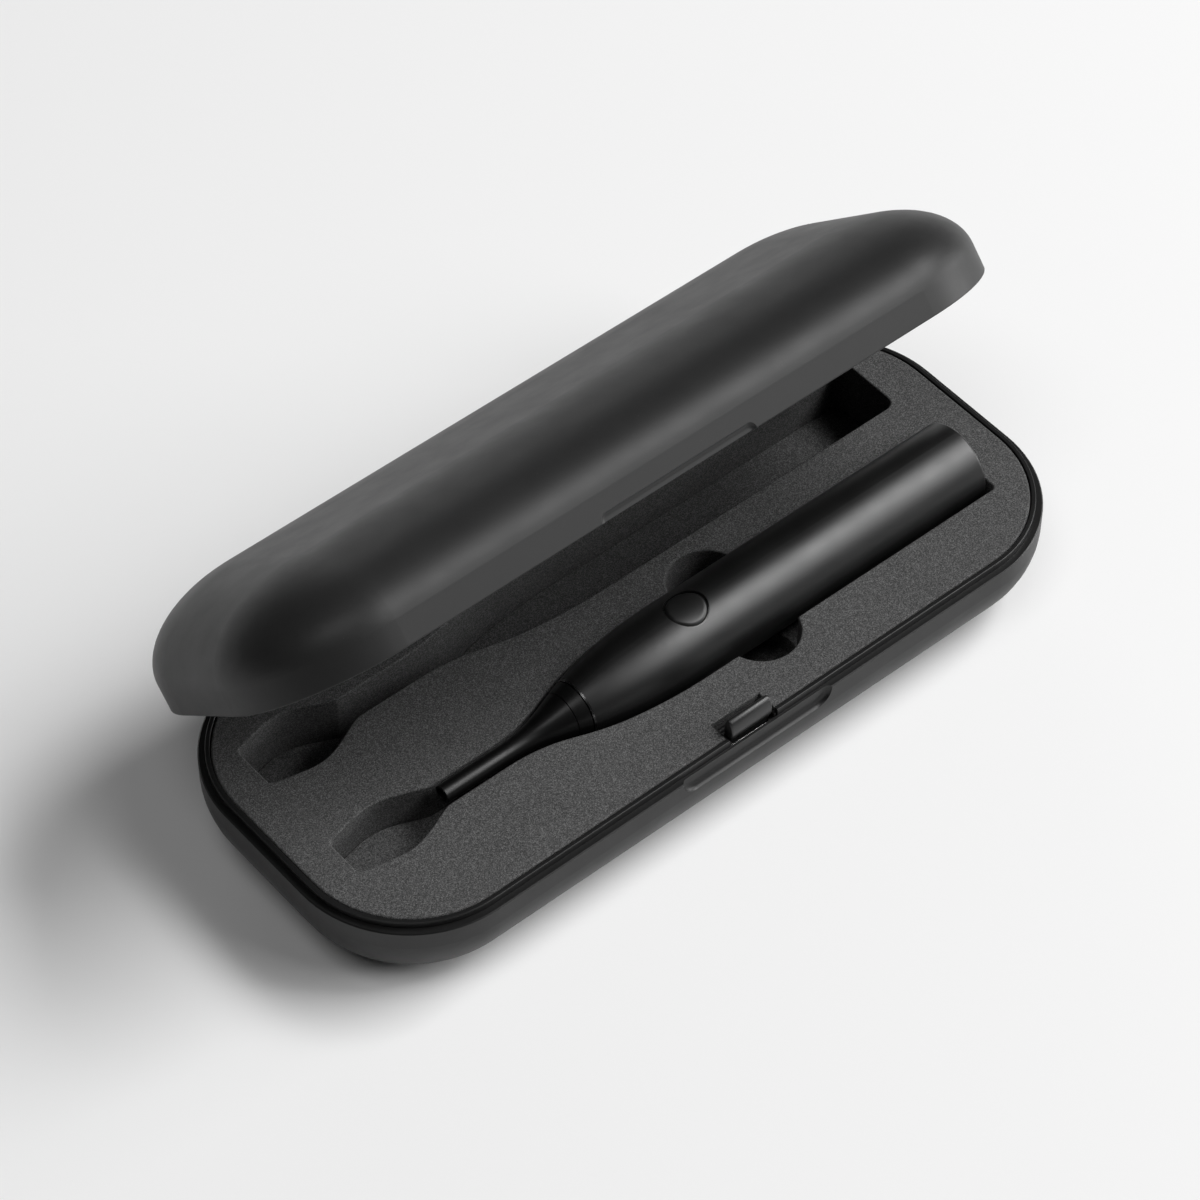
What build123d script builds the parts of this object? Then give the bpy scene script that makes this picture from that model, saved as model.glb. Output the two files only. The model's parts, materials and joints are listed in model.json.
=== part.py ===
from build123d import *
import math
import os

os.makedirs("parts", exist_ok=True)

# An electric toothbrush in its travel case: a moulded base with a foam bed, a domed lid on
# two barrel hinges, a rocking catch at the front, and the toothbrush itself.
# Millimetres.  X runs along the case (brush butt at +X), Y from the front to the hinge,
# Z up.  The origin is the middle of the base's underside, which the case rests on.

# ---------------------------------------------------------------- case, overall
case_length = 220.0
case_width = 93.2
corner_radius = 31.9
ledge_height = 23.8            # top of the base wall, where the lid closes
shell_wall = 1.8
floor_thickness = 2.0
base_edge_radius = 18.4        # rounding between wall and underside
outer_rim_break = 0.3
lip_height = 1.8               # inner lip above the ledge
lip_width = 1.15
lip_depth = 6.6                # how far the lip frame reaches down from its top
lip_break = 0.25
fit_gap = 0.05                 # clearance between seated pieces
soft_gap = 0.3                 # clearance round the foam
foam_side_gap = 0.25           # dark line between lip and foam
foam_edge_radius = 15.0        # the foam's own rounding, clear of the shell's

# ---------------------------------------------------------------- lid
lid_ajar = 42.8                # degrees open as it stands
parting_gap = 0.3
lid_rise = 17.4                # height of the elliptical crown
lid_run = 29.9                 # how far the crown reaches in from the wall
lid_straight = 6.8             # upright wall under the crown
lid_wall = 1.4
lid_roof = 2.0
lid_foam_setback = 3.5         # foam face above the lid's rim
lid_foam_side_gap = 0.6
lid_break = 0.35

# ---------------------------------------------------------------- hinge
hinge_standoff = 4.8           # pin axis behind the back wall
hinge_drop = 4.6               # pin axis below the ledge
hinge_spacing = 104.0
barrel_radius = 3.2
pin_radius = 1.3
running_gap = 0.05
lid_knuckle_width = 12.0
base_knuckle_width = 7.0
knuckle_gap = 0.6
washer_thickness = 0.4
washer_radius = 2.8
knuckle_root_height = 5.0      # height of a base knuckle's root on the wall
knuckle_root_drop = 0.4        # the root's top, below the ledge
knuckle_root_depth = 0.9       # how far a root reaches into the wall
lid_arm_height = 6.0           # height of a lid knuckle's root on the wall
lid_arm_gap = 0.35             # lid arm, clear of the base wall
lid_arm_root = 0.9             # how far an arm reaches into the lid wall
pin_head_radius = 2.0
pin_head_height = 0.8

# ---------------------------------------------------------------- finger scoops
scoop_length = 46.2
scoop_depth = 1.1
base_scoop_height = 4.8
lid_scoop_height = 2.3
lid_scoop_depth = 0.9
scoop_roundness = 0.9          # rounding of a scoop's ends, as a share of its height
scoop_inner_radius = 1.5       # where a scoop's floor turns up to its step

# ---------------------------------------------------------------- feet
foot_radius = 5.0
foot_thickness = 1.0
foot_break = 0.2
foot_spacing_x = 144.0
foot_spacing_y = 40.0

# ---------------------------------------------------------------- toothbrush, outside
brush_y = -13.6                # axis of the brush across the case
brush_sink = 0.5               # axis below the face of the foam
handle_radius = 11.2
butt_break = 0.7
taper_x = 2.0                  # the handle starts to taper
shoulder_x = -16.0
shoulder_radius = 10.0
ring_x = -28.5                 # trim ring, front end of the handle
ring_radius = 7.4
ring_width = 0.45
collar_x = -32.1               # front of the collar
neck_x = -38.5
neck_radius = 4.1
stem_start_x = -52.0
stem_radius = 2.4
stem_tip_x = -68.5
seam_gap = 0.3                 # running gap between collar and handle

# ---------------------------------------------------------------- toothbrush, inside
handle_bore = 9.6
front_bore = 7.0
front_bore_x = -23.0
bore_step_x = 0.0
nose_bore = 4.4
cap_length = 4.0
seal_section = 0.45            # radius of the O-ring's section
seal_groove = 0.9              # depth of the groove
seal_groove_width = 1.3
coil_length = 6.0
coil_radius = 8.6
core_radius = 4.0
coil_gap = 0.2                 # between the coil and its core
battery_radius = 7.1
battery_length = 50.0
battery_x = 28.4
battery_break = 0.6
saddle_count = 4
saddle_width = 1.6
contact_thickness = 0.4
contact_width = 6.0
contact_height = 10.0
chassis_radius = 9.4
chassis_wall = 1.2
chassis_tail = 4.45            # chassis beyond the battery
chassis_top = -0.5             # rim of the trough above the axis
bulkhead_thickness = 1.0
board_length = 26.0
board_width = 10.8
rail_thickness = 2.0
rail_outset = 0.4              # rail's outer face beyond the board's edge
board_thickness = 1.0
board_lift = 4.2               # underside of the board above the axis
switch_side = 4.5
switch_height = 1.1
plunger_radius = 1.2
plunger_height = 0.4
motor_radius = 6.8
motor_length = 18.0
motor_wall = 0.6
winding_wall = 2.0
magnet_radius = 3.6
magnet_setback = 2.0           # from the ends of the windings
shaft_radius = 1.5
shaft_reach = 24.0             # length of shaft inside the stem
bushing_length = 3.0
seal_length = 1.2
tip_bore = 1.7
tip_bore_depth = 9.0
stem_break = 0.2
screw_radius = 0.5
screw_head_radius = 1.0
screw_head_height = 0.6
screw_length = 3.2
screw_spread = 10.4            # screws, along the board from its middle
screw_y = 4.4                  # screws, across from its middle
stack_gap = 0.05               # between pieces stacked along the axis
collar_gap = 0.2               # shadow line between the stem and its collar

# ---------------------------------------------------------------- power button
button_x = 5.6
button_radius = 4.6
ring_outer_radius = 5.5
button_slot = 0.2              # gap between cap and ring
flange_reach = 0.4             # flange beyond the cap, under the ring's shoulder
flange_thickness = 0.6
flange_gap = 0.1
button_base = 8.1              # underside of the cap above the axis
ring_base = 7.4                # underside of the ring above the axis
membrane_thickness = 0.5
dish_depth = 0.25
dish_radius = 30.0

# ---------------------------------------------------------------- foam bed
pocket_gap = 1.5               # between the brush and the foam
slot_gap = 1.05                # the same along the stem
pocket_corner = 1.3
notch_radius = 9.7             # thumb notches beside the handle
notch_x = 20.7
notch_offset = 10.0            # notch centre from the brush axis
notch_depth = 17.1
head_pocket_depth = 10.7
head_end_x = -97.1
head_end_half = 5.7
head_wide_x = -82.5
head_wide_half = 7.85
head_neck_x = -69.5
head_corner = 1.6
head_flare = 0.35              # slope where the head pocket opens out
head_close = 0.12              # slope where it ends
spare_y = 20.5
spare_half = 10.3
spare_depth = 17.1
spare_head_depth = 13.9
spare_stem_half = 3.5
spare_head_widening = 0.75     # the spare head pocket is this much wider each side
lid_channel_gap = 1.5          # above the brush, in the lid's foam
lid_head_depth = 6.0
lid_spare_depth = 6.0
lid_notch_half = 8.0           # clearance round the latch in the lid's foam
lid_notch_reach = 9.6          # the same, in from the case wall

# ---------------------------------------------------------------- latch
latch_width = 12.6
latch_slot = 0.35              # beside the catch, in its housing
cheek = 0.5
catch_thickness = 3.2
catch_inset = 2.2              # outer face of the catch, in from the case wall
catch_height = 4.4             # above the foam
catch_pivot_drop = 5.0         # pivot below the foam
catch_pin_radius = 0.8
catch_break = 0.3
housing_back_inset = 8.3       # back face of the housing, in from the case wall
housing_back = 0.7
housing_floor = 0.6
housing_setdown = 1.8          # top of the housing's back below the foam
cheek_setdown = 1.2
step_count = 2
step_reach = 0.6
step_drop = 0.8
grip_height = 1.5              # recess in the back of the catch for the claw's nose
grip_depth = 0.5
grip_centre = 0.6              # below the foam
claw_thickness = 0.9
claw_gap = 0.3
claw_nose = 1.3
claw_nose_height = 0.9
claw_width = 9.0
claw_block_height = 12.0
claw_block_depth = 5.0
claw_block_drop = 3.9          # underside of the claw's block above the catch
spring_thickness = 0.3
spring_height = 2.4
spring_width = 9.6
spring_mouth = 0.6

# ---------------------------------------------------------------- worked out from these
half_width = case_width / 2
foam_top = ledge_height + lip_height
lip_offset = shell_wall + fit_gap
foam_offset = lip_offset + lip_width + foam_side_gap
lid_bottom = ledge_height + parting_gap
lid_crown_z = lid_bottom + lid_straight
lid_top = lid_crown_z + lid_rise
hinge_y = half_width + hinge_standoff
hinge_z = ledge_height - hinge_drop
axis_z = foam_top - brush_sink
battery_end_x = battery_x + battery_length
chassis_end_x = battery_end_x + chassis_tail
coil_start_x = chassis_end_x + soft_gap
coil_end_x = coil_start_x + coil_length
cap_start_x = coil_end_x + stack_gap
butt_x = cap_start_x + cap_length
brush_axis = Axis((0, brush_y, axis_z), (1, 0, 0))
pocket_end_x = butt_x + pocket_gap
handle_half = handle_radius + pocket_gap
stem_half = stem_radius + slot_gap
pocket_depth = foam_top - (axis_z - handle_radius - soft_gap)
catch_face_y = -half_width + catch_inset
pivot_y = catch_face_y + catch_thickness / 2
pivot_z = foam_top - catch_pivot_drop
housing_half = latch_width / 2 + latch_slot + cheek
latch_notch_half = housing_half + soft_gap
housing_back_y = -half_width + housing_back_inset
latch_notch_back_y = housing_back_y + soft_gap
housing_bottom = pivot_z - catch_thickness / 2 - soft_gap - housing_floor
lid_foam_face = lid_bottom + lid_foam_setback
lid_channel_depth = axis_z + handle_radius + lid_channel_gap - lid_foam_face
knuckle_span = lid_knuckle_width + 2 * knuckle_gap + 2 * base_knuckle_width

# The lid stands ajar: its frame is the case's frame turned about the hinge axis, so that a
# point of the closed lid keeps its coordinates in this frame.
ajar = math.radians(lid_ajar)
lid_up = Vector(0, math.sin(ajar), math.cos(ajar))
lid_back = Vector(0, math.cos(ajar), -math.sin(ajar))
lid_origin = Vector(0, hinge_y, hinge_z) - lid_back * hinge_y - lid_up * hinge_z
lid_frame = Plane(origin=lid_origin, x_dir=(1, 0, 0), z_dir=lid_up)


def lid_point(x, y, z):
    return lid_frame.from_local_coords(Vector(x, y, z))


def across(frame, x):
    """Plane across the case or the lid at x; its own x is the frame's Y, its own y its Z."""
    return Plane(
        origin=frame.from_local_coords(Vector(x, 0, 0)), x_dir=frame.y_dir, z_dir=frame.x_dir
    )


def brush_section(x):
    """Plane across the brush at x, centred on the brush axis."""
    return Plane(origin=(x, brush_y, axis_z), x_dir=(0, 1, 0), z_dir=(1, 0, 0))


brush_side = Plane(origin=(0, brush_y, axis_z), x_dir=(1, 0, 0), z_dir=(0, -1, 0))


def case_solid(inset, bottom, top, edge_radius):
    """Rounded tray outline, inset from the case wall, with a rounded underside."""
    with BuildPart() as tray:
        with BuildSketch(Plane.XY.offset(bottom)):
            RectangleRounded(case_length - 2 * inset, case_width - 2 * inset, corner_radius - inset)
        extrude(amount=top - bottom)
        fillet(tray.faces().sort_by(Axis.Z)[0].edges(), radius=edge_radius)
    return tray.part


def crowned_solid(inset, bottom, top):
    """Lid outline, inset from the lid wall, with an elliptical crown all round."""
    run = lid_run - inset
    straight = lid_crown_z - bottom
    rise = top - lid_crown_z
    core_length = case_length - 2 * lid_run
    core_width = case_width - 2 * lid_run
    core_radius_here = corner_radius - lid_run
    start = lid_point(0, -core_width / 2, bottom)
    with BuildLine(lid_frame.offset(bottom)) as core_edge:
        Polyline(
            (0, -core_width / 2),
            (core_length / 2, -core_width / 2),
            (core_length / 2, core_width / 2),
            (-core_length / 2, core_width / 2),
            (-core_length / 2, -core_width / 2),
            close=True,
        )
        fillet(core_edge.vertices().filter_by(lambda v: abs(v.X) > 1), radius=core_radius_here)
    with BuildPart() as crown:
        with BuildSketch(Plane(origin=start, x_dir=-lid_frame.y_dir, z_dir=-lid_frame.x_dir)):
            with BuildLine():
                Polyline((0, straight + rise), (0, 0), (run, 0), (run, straight))
                EllipticalCenterArc((0, straight), run, rise, start_angle=0, arc_size=90)
            make_face()
        sweep(path=core_edge.wires()[0])
        with BuildSketch(lid_frame.offset(bottom)):
            RectangleRounded(core_length, core_width, core_radius_here)
        extrude(amount=straight + rise)
    return crown.part


def scoop_hollow(frame, rim_z, height, depth):
    """Finger scoop in the front wall: level at the rim, with rounded ends and a rounded step.

    It reaches the given height to either side of the rim.
    """
    rim_middle = frame.from_local_coords(Vector(0, -half_width, rim_z))
    front = Plane(origin=rim_middle, x_dir=frame.x_dir, z_dir=-frame.y_dir)
    with BuildPart() as hollow:
        with BuildSketch(front):
            RectangleRounded(scoop_length, 2 * height, scoop_roundness * height)
        extrude(amount=depth, both=True)
        floor = hollow.faces().sort_by(Axis(rim_middle, front.z_dir))[0]
        fillet(floor.edges(), radius=scoop_inner_radius)
    return hollow.part


def pocket_area(plane, centre_y, end_half, slot_half, head_widening):
    """Plan of a brush pocket about its own centre line: handle, taper, slot and head."""

    def half_at(radius):
        share = (radius - stem_radius) / (handle_radius - stem_radius)
        return slot_half + share * (end_half - slot_half)

    placed = Plane(
        origin=plane.from_local_coords(Vector(0, centre_y, 0)), x_dir=plane.x_dir, z_dir=plane.z_dir
    )
    with BuildSketch(placed) as area:
        with BuildLine():
            Polyline((pocket_end_x, 0), (pocket_end_x, end_half), (taper_x, end_half))
            Spline(
                (taper_x, end_half),
                (shoulder_x, half_at(shoulder_radius)),
                (ring_x, half_at(ring_radius)),
                (neck_x, half_at(neck_radius)),
                (stem_start_x, slot_half),
                tangents=((-1, 0), (-1, 0)),
            )
            Line((stem_start_x, slot_half), (head_neck_x, slot_half))
            Spline(
                (head_neck_x, slot_half),
                (head_wide_x, head_wide_half + head_widening),
                (head_end_x, head_end_half + head_widening),
                tangents=((-1, head_flare), (-1, -head_close)),
            )
            Line((head_end_x, head_end_half + head_widening), (head_end_x, 0))
            mirror(about=Plane.XZ)
        make_face()
        ends = area.vertices().filter_by(lambda v: abs(v.Y) > slot_half)
        fillet(ends.group_by(Axis.X)[-1], radius=pocket_corner)
        fillet(area.vertices().group_by(Axis.X)[0].filter_by(lambda v: abs(v.Y) > 1), radius=head_corner)
    return area.sketch


def pocket_hollow(area, handle_depth, head_depth):
    """Hollow over a pocket's plan, with one depth under the handle and one under the head."""
    with BuildPart() as hollow:
        extrude(area, amount=handle_depth)
        split(bisect_by=Plane.YZ.offset(stem_start_x), keep=Keep.TOP)
        extrude(area, amount=head_depth)
    return hollow.part


def brush_slice(x_start, x_end):
    """The brush's outer form between two planes, solid."""
    with BuildPart() as form:
        with BuildSketch(brush_side):
            with BuildLine():
                Polyline(
                    (stem_tip_x, stem_radius),
                    (stem_tip_x, 0),
                    (butt_x, 0),
                    (butt_x, handle_radius),
                    (taper_x, handle_radius),
                )
                Spline(
                    (taper_x, handle_radius),
                    (shoulder_x, shoulder_radius),
                    (ring_x, ring_radius),
                    (neck_x, neck_radius),
                    (stem_start_x, stem_radius),
                    tangents=((-1, 0), (-1, 0)),
                )
                Line((stem_start_x, stem_radius), (stem_tip_x, stem_radius))
            make_face()
        revolve(axis=brush_axis)
        split(bisect_by=Plane.YZ.offset(x_start), keep=Keep.TOP)
        split(bisect_by=Plane.YZ.offset(x_end), keep=Keep.BOTTOM)
    return form.part


def round_piece(x_start, x_end, outer, inner=0.0):
    """Disc or sleeve about the brush axis."""
    with BuildPart() as piece:
        with BuildSketch(brush_section(x_start)):
            Circle(outer)
            if inner:
                Circle(inner, mode=Mode.SUBTRACT)
        extrude(amount=x_end - x_start)
    return piece.part


# ================================================================ base
base_frame = Plane.XY
hinge_stations = (-hinge_spacing / 2, hinge_spacing / 2)
knuckle_shift = (lid_knuckle_width + base_knuckle_width) / 2 + knuckle_gap
base_knuckles = [x + side * knuckle_shift for x in hinge_stations for side in (-1, 1)]
foot_grid = GridLocations(foot_spacing_x, foot_spacing_y, 2, 2)

base_outside = case_solid(0, 0, ledge_height, base_edge_radius)
base_inside = case_solid(
    shell_wall, floor_thickness, ledge_height + shell_wall, base_edge_radius - shell_wall
)
base_scoop = scoop_hollow(base_frame, ledge_height, base_scoop_height, scoop_depth)

with BuildPart() as base_shell:
    add(base_outside)
    rim = base_shell.faces().sort_by(Axis.Z)[-1]
    chamfer(rim.edges(), length=outer_rim_break)
    add(base_inside, mode=Mode.SUBTRACT)
    add(base_scoop, mode=Mode.SUBTRACT)
    for knuckle_x in base_knuckles:
        with BuildSketch(across(base_frame, knuckle_x)):
            with Locations((hinge_y, hinge_z)):
                Circle(barrel_radius)
            root_z = ledge_height - knuckle_root_drop - knuckle_root_height / 2
            with Locations((half_width - knuckle_root_depth / 2, root_z)):
                Rectangle(knuckle_root_depth, knuckle_root_height)
            make_hull()
            with Locations((hinge_y, hinge_z)):
                Circle(pin_radius + fit_gap, mode=Mode.SUBTRACT)
        extrude(amount=base_knuckle_width / 2, both=True)
    with BuildSketch(Plane.XY):
        with foot_grid:
            Circle(foot_radius + fit_gap)
    extrude(amount=foot_thickness + fit_gap, mode=Mode.SUBTRACT)
base_shell.part.label = "base_shell"
export_step(base_shell.part, "parts/base_shell.step")

with BuildPart() as base_feet:
    with BuildSketch(Plane.XY):
        with foot_grid:
            Circle(foot_radius)
    extrude(amount=foot_thickness)
    chamfer(base_feet.faces().group_by(Axis.Z)[0].edges(), length=foot_break)
base_feet.part.label = "base_feet"
export_step(base_feet.part, "parts/base_feet.step")

lip_inner = lip_offset + lip_width
with BuildPart() as rim_frame:
    with BuildSketch(Plane.XY.offset(foam_top - lip_depth)):
        RectangleRounded(
            case_length - 2 * lip_offset, case_width - 2 * lip_offset, corner_radius - lip_offset
        )
        RectangleRounded(
            case_length - 2 * lip_inner,
            case_width - 2 * lip_inner,
            corner_radius - lip_inner,
            mode=Mode.SUBTRACT,
        )
    extrude(amount=lip_depth)
    fillet(rim_frame.faces().sort_by(Axis.Z)[-1].edges(), radius=lip_break)
    with BuildSketch(Plane.XY.offset(foam_top - lip_depth)):
        with Locations((0, -half_width)):
            Rectangle(2 * latch_notch_half, 2 * foam_offset)
    extrude(amount=lip_depth, mode=Mode.SUBTRACT)
rim_frame.part.label = "rim_frame"
export_step(rim_frame.part, "parts/rim_frame.step")

# ================================================================ foam bed
foam_face = Plane.XY.offset(foam_top)
foam_block = case_solid(foam_offset, floor_thickness + soft_gap, foam_top, foam_edge_radius)
brush_area = pocket_area(foam_face, brush_y, handle_half, stem_half, 0)
spare_area = pocket_area(foam_face, spare_y, spare_half, spare_stem_half, spare_head_widening)
brush_pocket = pocket_hollow(brush_area, -pocket_depth, -head_pocket_depth)
spare_pocket = pocket_hollow(spare_area, -spare_depth, -spare_head_depth)

with BuildPart() as foam_insert:
    add(foam_block)
    add(brush_pocket, mode=Mode.SUBTRACT)
    add(spare_pocket, mode=Mode.SUBTRACT)
    with BuildSketch(foam_face):
        for side in (-1, 1):
            with Locations((notch_x, brush_y + side * notch_offset)):
                Circle(notch_radius)
    extrude(amount=-notch_depth, mode=Mode.SUBTRACT)
    with BuildSketch(foam_face):
        with Locations((0, latch_notch_back_y - half_width / 2)):
            Rectangle(2 * latch_notch_half, half_width)
    extrude(amount=housing_bottom - soft_gap - foam_top, mode=Mode.SUBTRACT)
foam_insert.part.label = "foam_insert"
export_step(foam_insert.part, "parts/foam_insert.step")

# ================================================================ hinge
with BuildPart() as hinge_pins:
    for station in hinge_stations:
        with BuildSketch(across(base_frame, station)):
            with Locations((hinge_y, hinge_z)):
                Circle(pin_radius)
        extrude(amount=knuckle_span / 2 + stack_gap, both=True)
        for side in (-1, 1):
            head_x = station + side * (knuckle_span / 2 + stack_gap + pin_head_height / 2)
            with BuildSketch(across(base_frame, head_x)):
                with Locations((hinge_y, hinge_z)):
                    Circle(pin_head_radius)
            extrude(amount=pin_head_height / 2, both=True)
hinge_pins.part.label = "hinge_pins"
export_step(hinge_pins.part, "parts/hinge_pins.step")

with BuildPart() as hinge_washers:
    for station in hinge_stations:
        for side in (-1, 1):
            washer_x = station + side * (lid_knuckle_width + knuckle_gap) / 2
            with BuildSketch(across(base_frame, washer_x)):
                with Locations((hinge_y, hinge_z)):
                    Circle(washer_radius)
                    Circle(pin_radius + running_gap, mode=Mode.SUBTRACT)
            extrude(amount=washer_thickness / 2, both=True)
hinge_washers.part.label = "hinge_washers"
export_step(hinge_washers.part, "parts/hinge_washers.step")

# ================================================================ lid
arm_top = lid_bottom + lid_arm_height
lid_outside = crowned_solid(0, lid_bottom, lid_top)
lid_inside = crowned_solid(lid_wall, lid_bottom - lid_wall, lid_top - lid_roof)
lid_scoop = scoop_hollow(lid_frame, lid_bottom, lid_scoop_height, lid_scoop_depth)

with BuildPart() as lid_shell:
    add(lid_outside)
    rim = lid_shell.faces().sort_by(Axis(lid_origin, lid_up))[0]
    fillet(rim.edges(), radius=lid_break)
    add(lid_inside, mode=Mode.SUBTRACT)
    add(lid_scoop, mode=Mode.SUBTRACT)
    for station in hinge_stations:
        with BuildSketch(across(lid_frame, station)):
            with BuildLine():
                Polyline(
                    (half_width + lid_arm_gap, lid_bottom),
                    (half_width + lid_arm_gap, arm_top),
                    (half_width + lid_arm_gap + lid_wall, arm_top),
                    (half_width + lid_arm_gap + lid_wall, lid_bottom),
                    close=True,
                )
            make_face()
            with Locations((hinge_y, hinge_z)):
                Circle(barrel_radius)
            make_hull()
            with Locations((half_width, lid_bottom + lid_arm_height / 2)):
                Rectangle(2 * lid_arm_root, lid_arm_height)
            with Locations((hinge_y, hinge_z)):
                Circle(pin_radius + running_gap, mode=Mode.SUBTRACT)
        extrude(amount=lid_knuckle_width / 2, both=True)
lid_shell.part.label = "lid_shell"
export_step(lid_shell.part, "parts/lid_shell.step")

lid_face = lid_frame.offset(lid_foam_face)
lid_foam_block = crowned_solid(
    lid_wall + lid_foam_side_gap, lid_foam_face, lid_top - lid_roof - soft_gap
)
lid_brush_area = pocket_area(lid_face, brush_y, handle_half, stem_half, 0)
lid_spare_area = pocket_area(lid_face, spare_y, spare_half, spare_stem_half, spare_head_widening)
brush_channel = pocket_hollow(lid_brush_area, lid_channel_depth, lid_head_depth)
spare_channel = pocket_hollow(lid_spare_area, lid_spare_depth, lid_spare_depth)

with BuildPart() as lid_foam:
    add(lid_foam_block)
    add(brush_channel, mode=Mode.SUBTRACT)
    add(spare_channel, mode=Mode.SUBTRACT)
    with BuildSketch(lid_face):
        with Locations((0, -half_width)):
            Rectangle(2 * lid_notch_half, 2 * lid_notch_reach)
    extrude(amount=lid_top, mode=Mode.SUBTRACT)
lid_foam.part.label = "lid_foam"
export_step(lid_foam.part, "parts/lid_foam.step")

# ================================================================ latch
housing_front_y = -half_width + shell_wall + soft_gap
housing_wall_y = housing_back_y - housing_back
catch_back_y = catch_face_y + catch_thickness
housing_floor_top = housing_bottom + housing_floor

with BuildPart() as latch_housing:
    with BuildSketch(Plane.XY.offset(housing_bottom)):
        with Locations((0, (housing_front_y + housing_back_y) / 2)):
            Rectangle(2 * housing_half, housing_back_y - housing_front_y)
    extrude(amount=foam_top - cheek_setdown - housing_bottom)
    with BuildSketch(Plane.XY.offset(housing_floor_top)):
        with Locations((0, housing_wall_y - half_width / 2)):
            Rectangle(2 * (housing_half - cheek), half_width)
    extrude(amount=foam_top - housing_floor_top, mode=Mode.SUBTRACT)
    with BuildSketch(Plane.XY.offset(foam_top - housing_setdown)):
        with Locations((0, housing_back_y)):
            Rectangle(2 * (housing_half - cheek), 2 * housing_back)
    extrude(amount=housing_setdown, mode=Mode.SUBTRACT)
    for step in range(1, step_count + 1):
        with BuildSketch(Plane.XY.offset(foam_top - housing_setdown - step * step_drop)):
            with Locations((0, housing_wall_y - step * step_reach / 2)):
                Rectangle(2 * (housing_half - cheek), step * step_reach)
        extrude(amount=-step_drop)
    with BuildSketch(across(base_frame, -housing_half)):
        with Locations((pivot_y, pivot_z)):
            Circle(catch_pin_radius + fit_gap)
    extrude(amount=2 * housing_half, mode=Mode.SUBTRACT)
latch_housing.part.label = "latch_housing"
export_step(latch_housing.part, "parts/latch_housing.step")

with BuildPart() as latch_pin:
    with BuildSketch(across(base_frame, 0)):
        with Locations((pivot_y, pivot_z)):
            Circle(catch_pin_radius)
    extrude(amount=housing_half, both=True)
latch_pin.part.label = "latch_pin"
export_step(latch_pin.part, "parts/latch_pin.step")

catch_top_z = foam_top + catch_height
with BuildPart() as latch_catch:
    with BuildSketch(across(base_frame, 0)):
        with Locations((pivot_y, (pivot_z - catch_thickness / 2 + catch_top_z) / 2)):
            SlotOverall(
                catch_top_z - pivot_z + catch_thickness / 2, catch_thickness, rotation=90
            )
        with Locations((pivot_y, pivot_z)):
            Circle(catch_pin_radius + running_gap, mode=Mode.SUBTRACT)
        with Locations((catch_back_y, foam_top - grip_centre)):
            Rectangle(2 * grip_depth, grip_height, mode=Mode.SUBTRACT)
    extrude(amount=latch_width / 2, both=True)
    sides = latch_catch.faces().filter_by(Axis.X)
    fillet(sides.edges().filter_by(GeomType.CIRCLE).group_by(Axis.Z)[-1], radius=catch_break)
latch_catch.part.label = "latch_catch"
export_step(latch_catch.part, "parts/latch_catch.step")

claw_front_y = catch_back_y + claw_gap + claw_nose
claw_bottom_z = foam_top - grip_centre - claw_nose_height / 2
claw_block_z = catch_top_z + claw_block_drop
lid_room = crowned_solid(lid_wall + fit_gap, lid_bottom, lid_top - lid_roof - fit_gap)

with BuildPart() as latch_claw:
    with BuildSketch(across(lid_frame, 0)):
        with BuildLine():
            Polyline(
                (claw_front_y - claw_nose, claw_bottom_z + claw_nose_height),
                (claw_front_y - claw_nose + claw_nose_height / 2, claw_bottom_z),
                (claw_front_y + claw_thickness, claw_bottom_z),
                (claw_front_y + claw_thickness, claw_block_z + claw_block_height),
                (claw_front_y + claw_thickness - claw_block_depth, claw_block_z + claw_block_height),
                (claw_front_y + claw_thickness - claw_block_depth, claw_block_z),
                (claw_front_y, claw_block_z),
                (claw_front_y, claw_bottom_z + claw_nose_height),
                close=True,
            )
        make_face()
    extrude(amount=claw_width / 2, both=True)
    add(lid_room, mode=Mode.INTERSECT)
latch_claw.part.label = "latch_claw"
export_step(latch_claw.part, "parts/latch_claw.step")

spring_depth = housing_wall_y - catch_back_y - 3 * stack_gap
with BuildPart() as latch_spring:
    with BuildSketch(across(base_frame, 0)):
        spring_y = housing_wall_y - stack_gap - spring_depth / 2
        with Locations((spring_y, housing_floor_top + stack_gap + spring_height / 2)):
            SlotOverall(spring_height, spring_depth, rotation=90)
            SlotOverall(
                spring_height - 2 * spring_thickness,
                spring_depth - 2 * spring_thickness,
                rotation=90,
                mode=Mode.SUBTRACT,
            )
        with Locations((spring_y, housing_floor_top + stack_gap + spring_height)):
            Rectangle(spring_mouth, spring_height, mode=Mode.SUBTRACT)
    extrude(amount=spring_width / 2, both=True)
latch_spring.part.label = "latch_spring"
export_step(latch_spring.part, "parts/latch_spring.step")

# ================================================================ toothbrush, handle
shell_start_x = ring_x + ring_width
button_plane = Plane.XY.offset(axis_z)
handle_form = brush_slice(shell_start_x, butt_x)
handle_hollow = round_piece(bore_step_x, butt_x, handle_bore)
front_hollow = round_piece(front_bore_x, bore_step_x, front_bore)
nose_hollow = round_piece(shell_start_x, front_bore_x, nose_bore)

with BuildPart() as handle_shell:
    add(handle_form)
    fillet(handle_shell.edges().filter_by(GeomType.CIRCLE).sort_by(Axis.X)[-1], radius=butt_break)
    add(handle_hollow, mode=Mode.SUBTRACT)
    add(front_hollow, mode=Mode.SUBTRACT)
    add(nose_hollow, mode=Mode.SUBTRACT)
    with BuildSketch(button_plane):
        with Locations((button_x, brush_y)):
            Circle(ring_outer_radius + fit_gap)
    extrude(amount=2 * handle_radius, mode=Mode.SUBTRACT)
handle_shell.part.label = "handle_shell"
export_step(handle_shell.part, "parts/handle_shell.step")

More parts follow.
